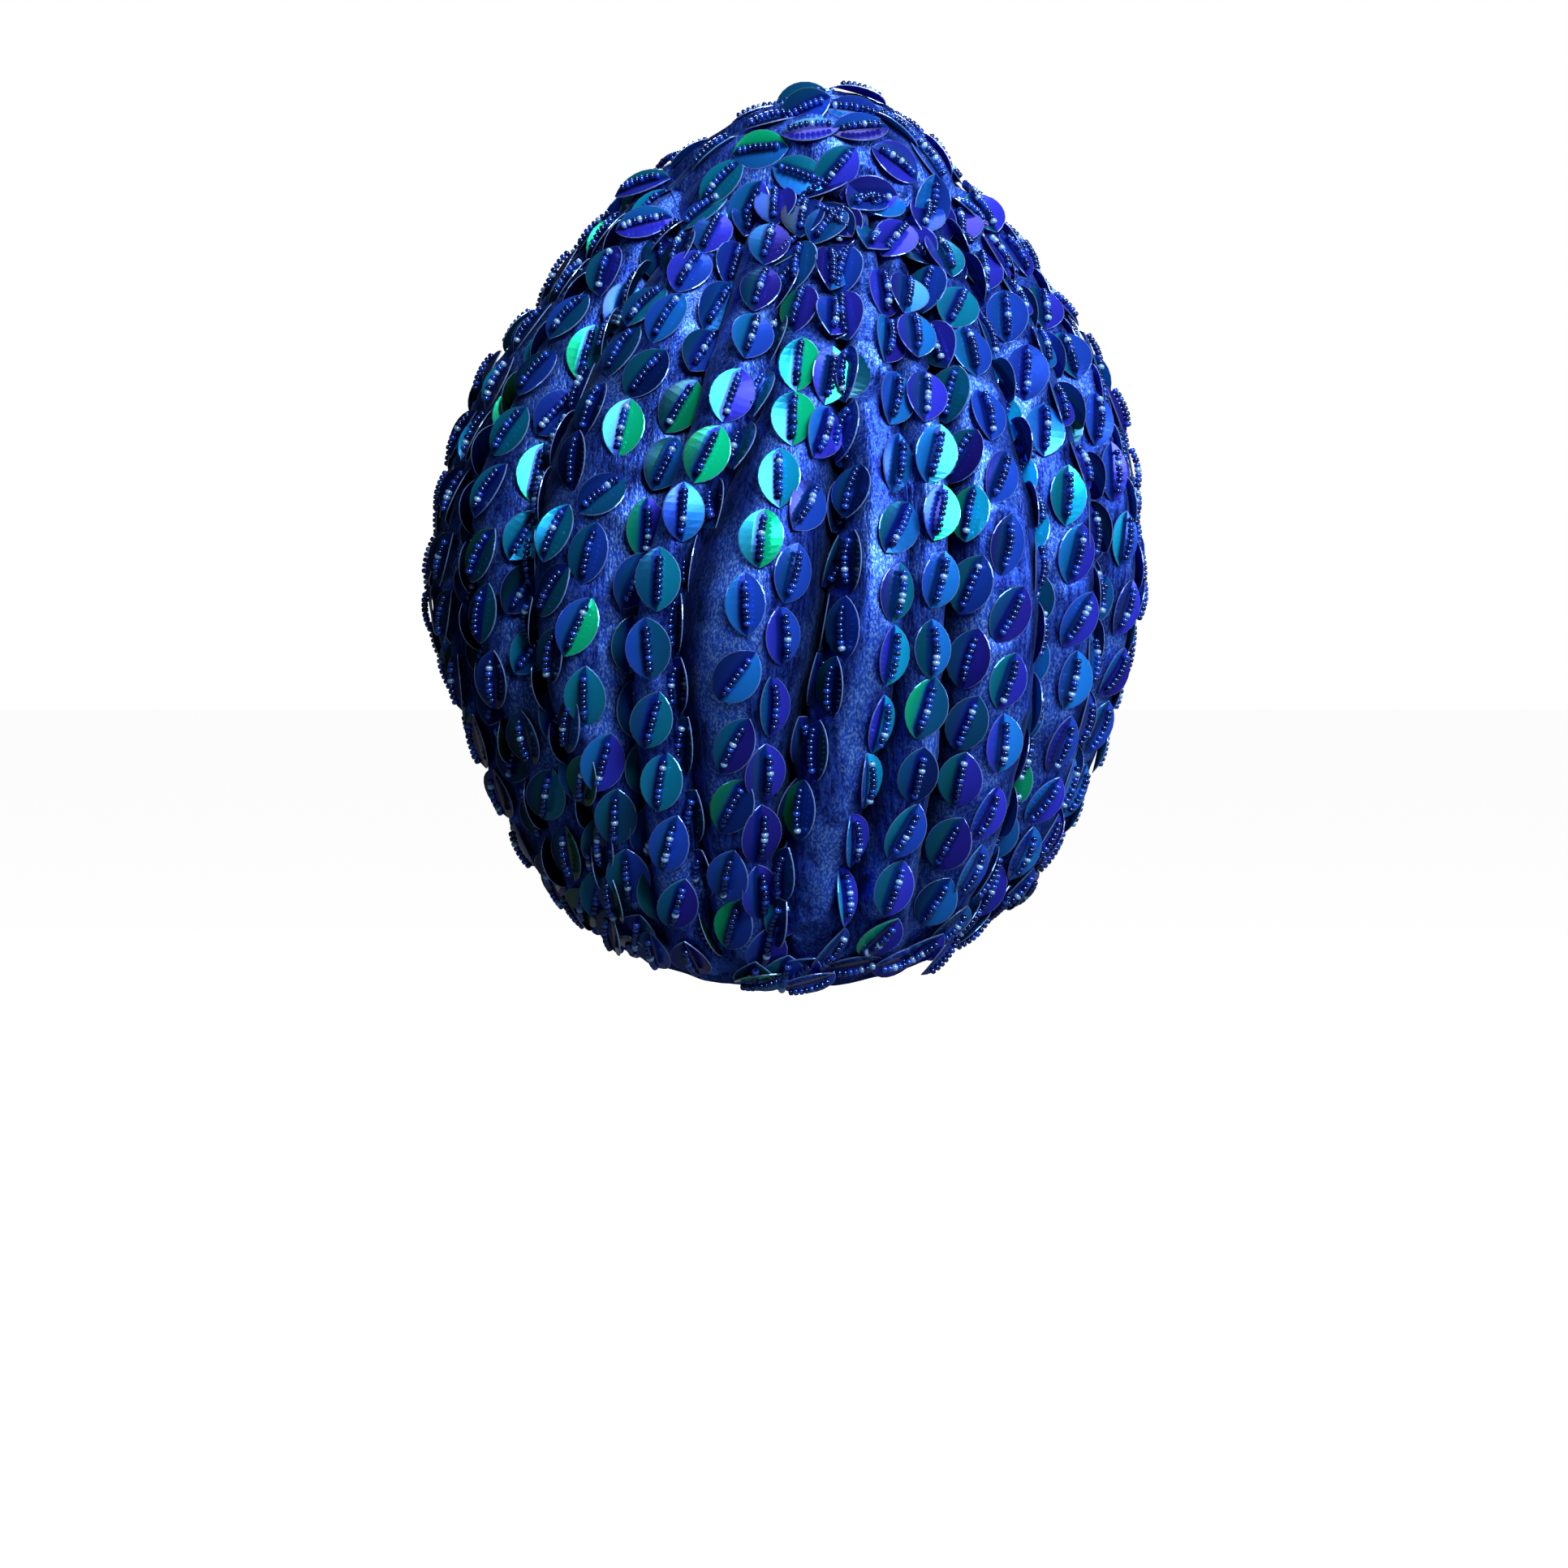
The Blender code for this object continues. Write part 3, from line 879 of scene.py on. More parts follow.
@dataclass
class TopTuck:
    """The bundle of cloth folded over the gather, with layered folds from side to side."""

    velvet: Material
    centre: Colour = (12.5, -18.0, 219.0)
    radii: Colour = (47.0, 46.0, 30.5)
    back_bluntness: float = 2.9
    front_bluntness: float = 1.6
    flare: float = 0.22
    skew: float = 0.17
    tip_deg: float = 9.0
    roll_deg: float = 8.0
    fold: float = 3.6
    folds: float = 2.4
    fold_rise: float = 6.0
    bow: tuple[float, float] = (0.16, 0.10)
    end_angle: float = 0.04
    overhead: float = 400.0
    around: int = 132
    along: int = 116
    clearance: float = 0.5

    def surface(self, angle: Array, along: Array) -> Array:
        """Points on the bundle.

        Args:
            angle: Radians round the bundle's long axis, from its top.
            along: From -1 at the back lip to 1 at the front.

        Returns:
            Points in millimetres.
        """
        blunt = self.bluntness(along)
        ring = np.maximum(0.0, 1 - np.abs(along) ** blunt) ** (1 / blunt)
        bell = 1 - self.flare * np.cos(angle) - self.skew * np.sin(angle)
        base = np.stack([np.sin(angle) * ring * bell, along, np.cos(angle) * ring], axis=-1)
        point = base * self.radii
        bow = self.bow[0] * np.cos(2 * angle) + self.bow[1] * np.sin(angle)
        lap = np.mod(self.folds * (along + bow), 1.0)
        layered = self.fold * (1 - lap) * np.minimum(1.0, self.fold_rise * lap) * ring**2
        gathers = 0.9 * soft_noise(on_ring(angle, 1.6, along * 9.0), 21)
        fine = 0.45 * soft_noise(point / 5.5, 22)
        swell = (layered + (gathers + fine) * ring)[:, None]
        point = point + unit(base / self.radii) * swell
        tip = Matrix.Rotation(math.radians(self.tip_deg), 3, "X")
        roll = Matrix.Rotation(math.radians(-self.roll_deg), 3, "Y")
        return point @ np.array(tip @ roll).T + self.centre

    def points(self, crown: BVHTree) -> Array:
        """The bundle's points, kept outside the crown it lies on.

        Args:
            crown: The crown's outer face as a search tree, in millimetres.

        Returns:
            Points ring by ring from the back lip to the front.
        """
        along = self.steps(np.linspace(self.end_angle, math.pi - self.end_angle, self.along))
        points = self.surface(np.tile(whole_turn(self.around), self.along), np.repeat(along, self.around))
        for point in points:
            point[2] = max(point[2], self.floor_at(point, crown))
        return points

    def bluntness(self, along: Array) -> Array:
        """How blunt the bundle is at its back end, where along is below 0, and at its front."""
        return np.where(along < 0, self.back_bluntness, self.front_bluntness)

    def steps(self, latitude: Array) -> Array:
        """Places along the bundle, from -1 to 1, for angles that step evenly over its ends."""
        along = -np.cos(latitude)
        return np.sign(along) * np.abs(along) ** (2 / self.bluntness(along))

    def floor_at(self, point: Array, crown: BVHTree) -> float:
        """The lowest height that the bundle may have over a place on the crown."""
        place = crown.ray_cast(Vector((point[0], point[1], self.overhead)), Vector((0.0, 0.0, -1.0)))[0]
        return -1e3 if place is None else place.z + self.clearance

    def make(self, points: Array) -> Piece:
        """Makes the bundle.

        Args:
            points: Its finished points.

        Returns:
            The piece.
        """
        faces = grid_faces(self.along, self.around, True)[:, ::-1].tolist()
        faces.append(list(range(self.around)))
        faces.append(list(range(len(points) - 1, len(points) - self.around - 1, -1)))
        piece = make_mesh("top_tuck_cloth", points, faces, self.velvet)
        colour_points(piece, "shade", np.ones((len(points), 3)))
        return piece


@dataclass
class HemBand:
    """The plain rolled edge tucked inside the crown's lower edge."""

    velvet: Material
    height: float = 8.0
    thickness: float = 3.0
    inset: float = 4.1
    shows: float = 4.0
    ruffled: float = 0.9
    roundness: float = 0.8
    # Painted shade on the rolled edge, all round and with its ruffles.
    shade: float = 0.42
    shade_in_ruffles: float = 0.2
    steps: int = 420
    sides: int = 14
    flat: tuple[float, float] = (0.471, 0.0105)

    def make(self) -> Piece:
        """Sweeps the rolled edge round the opening, with small puckers.

        Returns:
            The piece.
        """
        turn, side = np.repeat(whole_turn(self.steps), self.sides), np.tile(whole_turn(self.sides), self.steps)
        out = np.sign(np.cos(side)) * np.abs(np.cos(side)) ** self.roundness * self.thickness / 2
        up = np.sign(np.sin(side)) * np.abs(np.sin(side)) ** self.roundness * self.height / 2
        pucker = soft_noise(on_ring(turn, 22, up / 5), 31)
        ruffle = soft_noise(on_ring(turn, 9, 0 * turn), 32)
        out = out + 0.25 * pucker * np.cos(side) + 0.5 * ruffle
        x = (OPENING_HALF_WIDTH - self.inset + out) * np.sin(turn)
        y = -(OPENING_HALF_DEPTH - self.inset + out) * np.cos(turn)
        z = up + self.height / 2 - self.shows + 0.15 * pucker + self.ruffled * ruffle
        points = np.stack([x, y, z], axis=-1) @ np.array(Matrix.Rotation(math.radians(-OPENING_TILT_DEG), 3, "X"))
        faces = grid_faces(self.steps + 1, self.sides, True) % len(points)
        piece = make_mesh("hem_band_cloth", points, faces, self.velvet)
        # Painted shade: the rolled edge darker all round, and darker still where its ruffles stand out.
        shade = self.shade - self.shade_in_ruffles * ruffle
        colour_points(piece, "shade", shade[:, None])
        return piece


class LeafTone(Enum):
    """The tints that a sequin's halves show, as red, green and blue."""

    TEAL = (0.003, 0.17, 0.34)
    SEA = (0.003, 0.07, 0.21)
    GREEN = (0.002, 0.19, 0.08)
    SKY = (0.008, 0.15, 0.62)
    ROYAL = (0.010, 0.06, 0.54)
    VIOLET = (0.022, 0.030, 0.56)
    PLUM = (0.014, 0.014, 0.28)
    NAVY = (0.002, 0.016, 0.14)
    MINT = (0.002, 0.54, 0.27)
    CYAN = (0.004, 0.34, 0.72)


def tones(**shares: float) -> dict[LeafTone, float]:
    """Finds the tones by their names."""
    return {LeafTone[name]: share for name, share in shares.items()}


# Tones by which way a half faces, from the left of the back to the right and up: painted iridescent sheen, with dark
# navy on the shaded left as painted shade.
TONE_BANDS = (
    (-1.1, tones(NAVY=0.55, SEA=0.8, ROYAL=0.93, GREEN=1.0)),
    (-0.35, tones(SEA=0.28, NAVY=0.5, TEAL=0.68, GREEN=0.78, MINT=0.84, ROYAL=1.0)),
    (0.4, tones(TEAL=0.15, SEA=0.34, SKY=0.52, ROYAL=0.82, CYAN=0.87, MINT=0.885, PLUM=1.0)),
    (math.inf, tones(VIOLET=0.36, PLUM=0.5, ROYAL=0.74, SKY=0.9, CYAN=0.95, TEAL=1.0)),
)
# Bright tints for halves that face a glint side: painted glints.
FLASH_TONES = tones(CYAN=0.4, MINT=0.34, TEAL=0.26)
# Tints for the strips beside the fold: painted iridescent sheen.
FOLD_SHEEN_TONES = tones(GREEN=0.34, TEAL=0.3, ROYAL=0.2, VIOLET=0.16)


@dataclass
class LeafSet:
    """Where every sequin lies: one row for each leaf, in millimetres."""

    centre: Array
    along: Array
    up: Array
    length: Array
    width: Array
    fold_deg: Array
    group: Array
    lit: Array
    # flash_cosine sets which halves get painted glints; shaded_tint and shaded_faces set the painted shade on the
    # left.
    flash_cosine: float = 0.988
    layer_height: float = 0.6
    most_layers: int = 4
    near: float = 11.0
    shaded_tint: float = 0.34
    shaded_faces: tuple[float, float] = (-0.95, -0.15)
    drift_size: float = 55.0
    drift: float = 0.5
    scatter: float = 0.42
    facing_right: float = 1.5
    half_facing: float = 0.35
    facing_up: float = 0.7
    on_tuck: float = 0.7
    brightness: tuple[float, float] = (0.75, 1.25)
    layer: Array = field(init=False)
    tints: Array = field(init=False)
    # Each leaf's tint beside the fold: painted iridescent sheen.
    glow: Array = field(init=False)

    def __post_init__(self) -> None:
        """Squares up the leaves' axes and lifts those that would lie in another."""
        self.up = unit(self.up)
        self.along = unit(self.along - (self.along * self.up).sum(axis=1, keepdims=True) * self.up)
        self.layer = self.stack()
        self.centre = self.centre + self.up * (self.layer_height * self.layer)[:, None]
        self.tints = self.paint()

    @property
    def side(self) -> Array:
        """The direction across each leaf."""
        return np.cross(self.up, self.along)

    def stack(self) -> Array:
        """Gives each leaf the lowest layer that no near neighbour has taken.

        Returns:
            The layer of each leaf, from 0.
        """
        tree = point_tree(self.centre)
        layer = np.full(len(self.centre), -1)
        for index in np.random.default_rng(41).permutation(len(self.centre)):
            near = [layer[other] for _, other, _ in tree.find_range(self.centre[index], self.near)]
            layer[index] = next(level for level in range(60) if level not in near)
        return np.minimum(layer, self.most_layers)

    def paint(self) -> Array:
        """Picks the tints of each leaf's two halves from where it faces, with chance added: painted iridescent sheen,
        painted shade on the left and in the creases, and painted glints.

        Returns:
            Red, green and blue for the right and the left half of every leaf.
        """
        rng = np.random.default_rng(42)
        halves = []
        for half in (1.0, -1.0):
            drift = soft_noise(self.centre / self.drift_size, 43) * self.drift
            drift += rng.normal(0, self.scatter, len(self.centre))
            # Tones picked by which way a half faces: painted iridescent sheen, and dark navy on the shaded left as
            # painted shade.
            upward = self.facing_up * ease(self.up[:, 2], 0.25, 0.75)
            facing = self.up[:, 0] * self.facing_right + half * self.half_facing + drift + upward
            facing = facing + self.on_tuck * (self.group == len(CREASES))
            picked = np.array([self.tone(value, rng.random()) for value in facing])
            # Painted shade: darker on the left and where the cloth under the leaf is painted darker.
            in_light = ease(self.up[:, 0], *self.shaded_faces)
            dimmed = self.lit[:, None] * (self.shaded_tint + (1 - self.shaded_tint) * in_light)[:, None]
            # Painted glints: halves that face a glint side get bright flash tints.
            fold = np.radians(self.fold_deg)[:, None]
            out = self.up * np.cos(fold) + self.side * np.sin(fold) * half
            flashing = ((out @ np.array(GLINT_SIDES).T).max(axis=1) > self.flash_cosine)[:, None]
            picked = np.where(flashing, self.draw(FLASH_TONES, rng), picked * dimmed)
            halves.append(picked * rng.uniform(*self.brightness, (len(self.centre), 1)))
        # Tints for the strips beside the fold: painted iridescent sheen.
        self.glow = self.draw(FOLD_SHEEN_TONES, rng)
        return np.stack(halves, axis=1)

    def draw(self, tones: dict[LeafTone, float], rng: Chance) -> Array:
        """Draws one of the tones for every leaf, by the tones' shares."""
        picked = rng.choice(len(tones), len(self.centre), p=tuple(tones.values()))
        return np.array([tone.value for tone in tones])[picked]

    @staticmethod
    def tone(value: float, chance: float) -> Colour:
        """The tint for one half: green and navy at a value of -2, violet at 2, by a chance from 0 to 1."""
        choices = next(tones for limit, tones in TONE_BANDS if value < limit)
        return next(tone.value for tone, most in choices.items() if chance <= most)

    def place(self, local: Array, index: int) -> Array:
        """Moves points from along, across and above one leaf to the hat's frame."""
        axes = np.stack([self.along[index], self.side[index], self.up[index]])
        return local @ axes + self.centre[index]

    def half_width_at(self, index: int, along: Array) -> Array:
        """The leaf's half width.

        Args:
            index: Which leaf.
            along: Places along it from its middle, in millimetres.

        Returns:
            Half widths in millimetres.
        """
        half_length, half_width = self.length[index] / 2, self.width[index] / 2
        radius = (half_length**2 + half_width**2) / (2 * half_width)
        return np.sqrt(np.maximum(radius**2 - np.asarray(along) ** 2, 0.0)) - (radius - half_width)

    def rise(self, index: int, along: Array, across: Array) -> Array:
        """How high the folded leaf stands over its middle point.

        Args:
            index: Which leaf.
            along: Places along it, in millimetres.
            across: Places across it, in millimetres.

        Returns:
            Heights in millimetres.
        """
        t = along / (self.length[index] / 2)
        half = np.abs(across) / (self.width[index] / 2)
        return np.abs(across) * math.tan(math.radians(self.fold_deg[index])) - 0.55 * t * t - 0.5 * half * half


def join_leaf_sets(sets: list[LeafSet], keep: list[Array]) -> LeafSet:
    """Makes one leaf set of those kept from several.

    Args:
        sets: The leaf sets.
        keep: For each set, which of its leaves are kept.

    Returns:
        The joined set.
    """
    names = ("centre", "along", "up", "length", "width", "fold_deg", "group", "lit")
    rows = [[getattr(leaves, name)[chosen] for leaves, chosen in zip(sets, keep)] for name in names]
    return LeafSet(*[np.concatenate(parts) for parts in rows])


@dataclass
class LeafPlanner:
    """Lays the sequins in rows along the pleats, nearly tip to tip."""

    form: CrownForm
    row_spacing: float = 14.5
    side_spacing: float = 11.2
    front_spacing: float = 16.0
    pitch: float = 21.0
    length: float = 19.4
    width: float = 13.7
    first: float = 7.5
    hanging: float = 8.5
    nape_deg: float = 30.0
    back_deg: float = 34.0
    side_deg: float = 112.0
    girth_radius: float = 122.0
    arc_degs: tuple[float, float, float] = (16.0, 160.0, 24.0)
    arc_spacing: float = 21.0
    lip_spread_deg: float = 236.0
    front_spread_deg: float = 190.0
    hem_row_degs: tuple[float, float, float] = (-6.0, 48.0, 10.5)
    hem_row_share: float = 0.013
    hem_row_turn_deg: float = 60.0
    lean_deg: float = 15.0
    lean_spread_degs: tuple[float, float] = (9.0, 20.0)
    probe_across: float = 4.6
    probe_along: float = 6.0 / 372.0
    crowded_widths: tuple[float, float] = (95.0, 55.0)
    gather_gap: float = 26.0
    steepest: float = 0.35
    lit: tuple[float, float, float] = (0.14, 0.94, 1.1)
    fold_degs: tuple[float, float] = (6.0, 21.0)
    tuck_fold_degs: tuple[float, float] = (6.0, 20.0)

    def lay_on_crown(self) -> LeafSet:
        """Lays the rows on the crown.

        Returns:
            The leaves, fitted to the cloth under them.
        """
        rng = np.random.default_rng(51)
        azimuths, shares, groups = [], [], []
        for azimuth in np.radians(np.arange(*self.hem_row_degs)):
            azimuths.append(float(azimuth))
            shares.append(self.hem_row_share)
            groups.append(int(self.form.pleat_at(np.array([azimuth]), np.array([self.hem_row_share]))[0][0]))
        lying = len(azimuths)
        middle = np.interp(92.0, [section.height for section in SECTIONS], self.form.stations)
        for pleat in range(len(CREASES)):
            edges = self.form.edges(middle)[pleat : pleat + 2]
            width = self.girth_radius * (edges[1] - edges[0])
            degrees = abs(math.degrees(float(edges[0] + edges[1]) / 2))
            spacing = self.side_spacing if degrees < self.side_deg else self.front_spacing
            spacing = self.row_spacing if degrees < self.back_deg else spacing
            count = max(1, round(width / spacing))
            for row in range(count):
                across = (row + 0.5) / count + rng.uniform(-0.03, 0.03)
                phase = (0.5 if (row + pleat) % 2 else 0.0) + rng.uniform(-0.18, 0.18)
                for azimuth, share in self.places_in_row(pleat, across, phase, rng):
                    azimuths.append(azimuth)
                    shares.append(share)
                    groups.append(pleat)
        return self.fit(np.array(azimuths), np.array(shares), np.array(groups), lying, rng)

    def places_in_row(
        self, pleat: int, across: float, phase: float, rng: Chance
    ) -> list[tuple[float, float]]:
        """Steps along one row at the sequins' pitch.

        Args:
            pleat: The pleat's number.
            across: Where the row runs across it.
            phase: The share of a pitch by which the row starts late.
            rng: Gives the small unevenness.

        Returns:
            The azimuth and share of each leaf.
        """
        shares = np.linspace(0.0, 1.0, 800)
        left, right = self.form.edges(shares)[pleat : pleat + 2]
        azimuth = left + (right - left) * across
        path = self.form.smooth(azimuth, shares)
        run = np.concatenate([[0.0], np.cumsum(np.linalg.norm(np.diff(path, axis=0), axis=1))])
        places = []
        degrees = abs(math.degrees(float(azimuth[0])))
        lowest = self.hanging if degrees < self.nape_deg else self.first
        at = lowest + ((phase + 0.3) % 1.0 - 0.3) * self.pitch
        while at < run[-1] - self.gather_gap:
            here = at + rng.uniform(-1.5, 1.5)
            share = float(np.interp(here, run, shares))
            room = self.form.column("half_width", np.array([share]))[0]
            if room > 50.0 or rng.random() < room / 64.0:
                places.append((float(np.interp(here, run, azimuth)), share))
            at += self.pitch * rng.uniform(0.94, 1.06)
        return places

    def fit(self, azimuth: Array, share: Array, group: Array, lying: int, rng: Chance) -> LeafSet:
        """Turns places on the crown into leaves that lie on the cloth.

        Args:
            azimuth: Radians from the back.
            share: Shares of the way from hem to gather.
            group: The pleat of each leaf.
            lying: How many leaves, from the first, lie along the hem.
            rng: Gives the leaves' tilt and size.

        Returns:
            The fitted leaves.
        """
        half_width = np.maximum(self.form.column("half_width", share), 8.0)
        side_step, long_step = self.probe_across / half_width, self.probe_along
        middle = self.form.folded(azimuth, share)
        left, right = (self.form.folded(azimuth + step, share) for step in (-side_step, side_step))
        ends = np.maximum(share - long_step, 0.0), np.minimum(share + long_step, 1.0)
        low, high = (self.form.folded(azimuth, end) for end in ends)
        across, along = unit(right - left), unit(high - low)
        up = unit(np.cross(across, along))
        outward = self.form.outward(azimuth, share)
        crowding = ease(half_width, *self.crowded_widths)
        up = unit(np.where((up * outward).sum(axis=1, keepdims=True) < self.steepest, up + 0.8 * outward, up))
        up = unit(up + outward * crowding[:, None])
        flank = np.stack([left, right, low, high, middle])
        over = ((flank - middle) * up).sum(axis=2).max(axis=0)
        centre = middle + up * (0.45 + 0.55 * over)[:, None]
        calm, wild = self.lean_spread_degs
        tilt = rng.normal(0, 1, len(azimuth)) * np.radians(calm + wild * crowding) + math.radians(self.lean_deg)
        tilt[:lying] += math.radians(self.hem_row_turn_deg)
        along = along * np.cos(tilt)[:, None] + across * np.sin(tilt)[:, None]
        up = up + rng.normal(0, 1, up.shape) * (0.09 + 0.07 * crowding)[:, None]
        length = self.length * rng.uniform(0.95, 1.04, len(up))
        width = self.width * rng.uniform(0.93, 1.05, len(up))
        # Painted shade on the sequins: they are darker where the cloth under them has painted shade.
        least, by_shade, most = self.lit
        lit = np.clip(least + by_shade * self.form.shade(azimuth, share), least, most)
        return LeafSet(centre, along, up, length, width, rng.uniform(*self.fold_degs, len(up)), group, lit)

    @staticmethod
    def clear_of(leaves: LeafSet, cover: BVHTree) -> Array:
        """Finds the leaves that nothing lies over.

        Args:
            leaves: The leaves.
            cover: What may lie over them, as a search tree.

        Returns:
            True for each leaf that is clear.
        """
        starts = leaves.centre - leaves.up * 4.0
        hits = [cover.ray_cast(Vector(start), Vector(up), 30.0)[0] for start, up in zip(starts, leaves.up)]
        return np.array([hit is None for hit in hits])

    def lay_on_tuck(self, tuck: TopTuck, crown: BVHTree) -> LeafSet:
        """Lays sequins in arcs from side to side over the bundle.

        Args:
            tuck: The bundle.
            crown: The crown's outer face as a search tree.

        Returns:
            The leaves, fitted to the bundle.
        """
        rng = np.random.default_rng(52)
        centres, alongs, ups = [], [], []
        for latitude in np.radians(np.arange(*self.arc_degs)):
            place = float(tuck.steps(latitude))
            ring = math.sin(latitude) ** (2 / float(tuck.bluntness(place)))
            spread = self.lip_spread_deg if latitude < 1.0 else self.front_spread_deg
            reach = tuck.radii[0] * ring * math.radians(spread)
            count = max(2, round(reach / self.arc_spacing))
            for number in range(count):
                angle = math.radians(spread * ((number + 0.5) / count - 0.5) + rng.uniform(-6, 6))
                at = float(np.clip(place + rng.uniform(-0.04, 0.04), -0.985, 0.95))
                angles = np.array([angle, angle + 0.06, angle])
                places = np.array([at, at, at + 0.03])
                here, beside, behind = tuck.surface(angles, places)
                up = unit(np.cross(beside - here, behind - here))
                up = up if np.dot(up, here - tuck.centre) > 0 else -up
                if here[2] < tuck.floor_at(here, crown) + 1.5:
                    continue
                centres.append(here + up * 0.2)
                alongs.append(beside - here + (behind - here) * rng.normal(0, 0.25))
                ups.append(up + rng.normal(0, 0.07, 3))
        count = len(centres)
        size = rng.uniform(0.93, 1.03, (2, count))
        group = np.full(count, len(CREASES))
        fold = rng.uniform(*self.tuck_fold_degs, count)
        length, width = self.length * size[0], self.width * size[1]
        return LeafSet(np.array(centres), np.array(alongs), np.array(ups), length, width, fold, group, np.ones(count))


@dataclass
class ClothPresser:
    """Presses the cloth down under the sequins, and draws it in at their stitches."""

    leaves: LeafSet
    gap: float = 0.35
    reach: float = 11.5
    most: float = 2.4
    most_lift: float = 2.2
    dimple: float = 0.7
    dimple_reach: float = 4.0

    def above(self, points: Array, tree: KDTree, leaf: int) -> tuple[Array, Array, Array]:
        """Finds how far the cloth round one leaf stands above it.

        Args:
            points: The cloth's points in millimetres.
            tree: A search tree of the cloth.
            leaf: Which leaf.

        Returns:
            The numbers of the points near the leaf, how far each is above it, and how far outside it.
        """
        found = tree.find_range(self.leaves.centre[leaf], self.reach)
        near = np.array([index for _, index, _ in found], int)
        axes = np.stack([self.leaves.along[leaf], self.leaves.side[leaf], self.leaves.up[leaf]])
        local = (points[near] - self.leaves.centre[leaf]) @ axes.T
        outside = np.abs(local[:, 1]) - self.leaves.half_width_at(leaf, local[:, 0])
        limit = self.leaves.rise(leaf, local[:, 0], local[:, 1]) - self.gap + 0.9 * np.maximum(outside - 0.3, 0.0)
        ends = np.hypot(np.abs(local[:, 0]) - self.leaves.length[leaf] * 0.33, local[:, 1])
        limit = limit - self.dimple * np.exp(-((ends / self.dimple_reach) ** 2))
        return near, local[:, 2] - limit, outside

    def lift(self, points: Array) -> None:
        """Raises the leaves that the cloth would come through by more than it is pressed down.

        Args:
            points: The cloth's points in millimetres.
        """
        tree = point_tree(points)
        for leaf in range(len(self.leaves.centre)):
            _, above, outside = self.above(points, tree, leaf)
            over = above[(outside < 0.5) & (above < 6.0)]
            if len(over):
                needed = float(np.percentile(over, 96)) - self.most
                self.leaves.centre[leaf] += self.leaves.up[leaf] * min(max(0.0, needed), self.most_lift)

    def press(self, points: Array) -> Array:
        """Moves cloth points from above the leaves to just under them.

        Args:
            points: The cloth's points in millimetres.

        Returns:
            The moved points.
        """
        tree = point_tree(points)
        moved = points.copy()
        for leaf in range(len(self.leaves.centre)):
            near, above, outside = self.above(moved, tree, leaf)
            pressed = (above > 0.0) & (above < self.most + 0.8) & (outside < 2.5)
            moved[near[pressed]] -= above[pressed, None] * self.leaves.up[leaf]
        return moved


def join_parts(
    name: str, parts: list[tuple[Array, Array, Array]], finish: Material, smooth: bool
) -> Piece:
    """Makes one tinted piece of parts that have the same number of points.

    Args:
        name: The piece's name.
        parts: Each part's points, faces and point tints.
        finish: The piece's finish.
        smooth: Whether its faces are shaded smooth.

    Returns:
        The piece.
    """
    size = len(parts[0][0])
    faces = np.concatenate([part[1] + number * size for number, part in enumerate(parts)])
    points, tints = (np.concatenate([part[column] for part in parts]) for column in (0, 2))
    piece = make_mesh(name, points, faces.tolist(), finish, smooth)
    colour_points(piece, "tint", tints)
    return piece


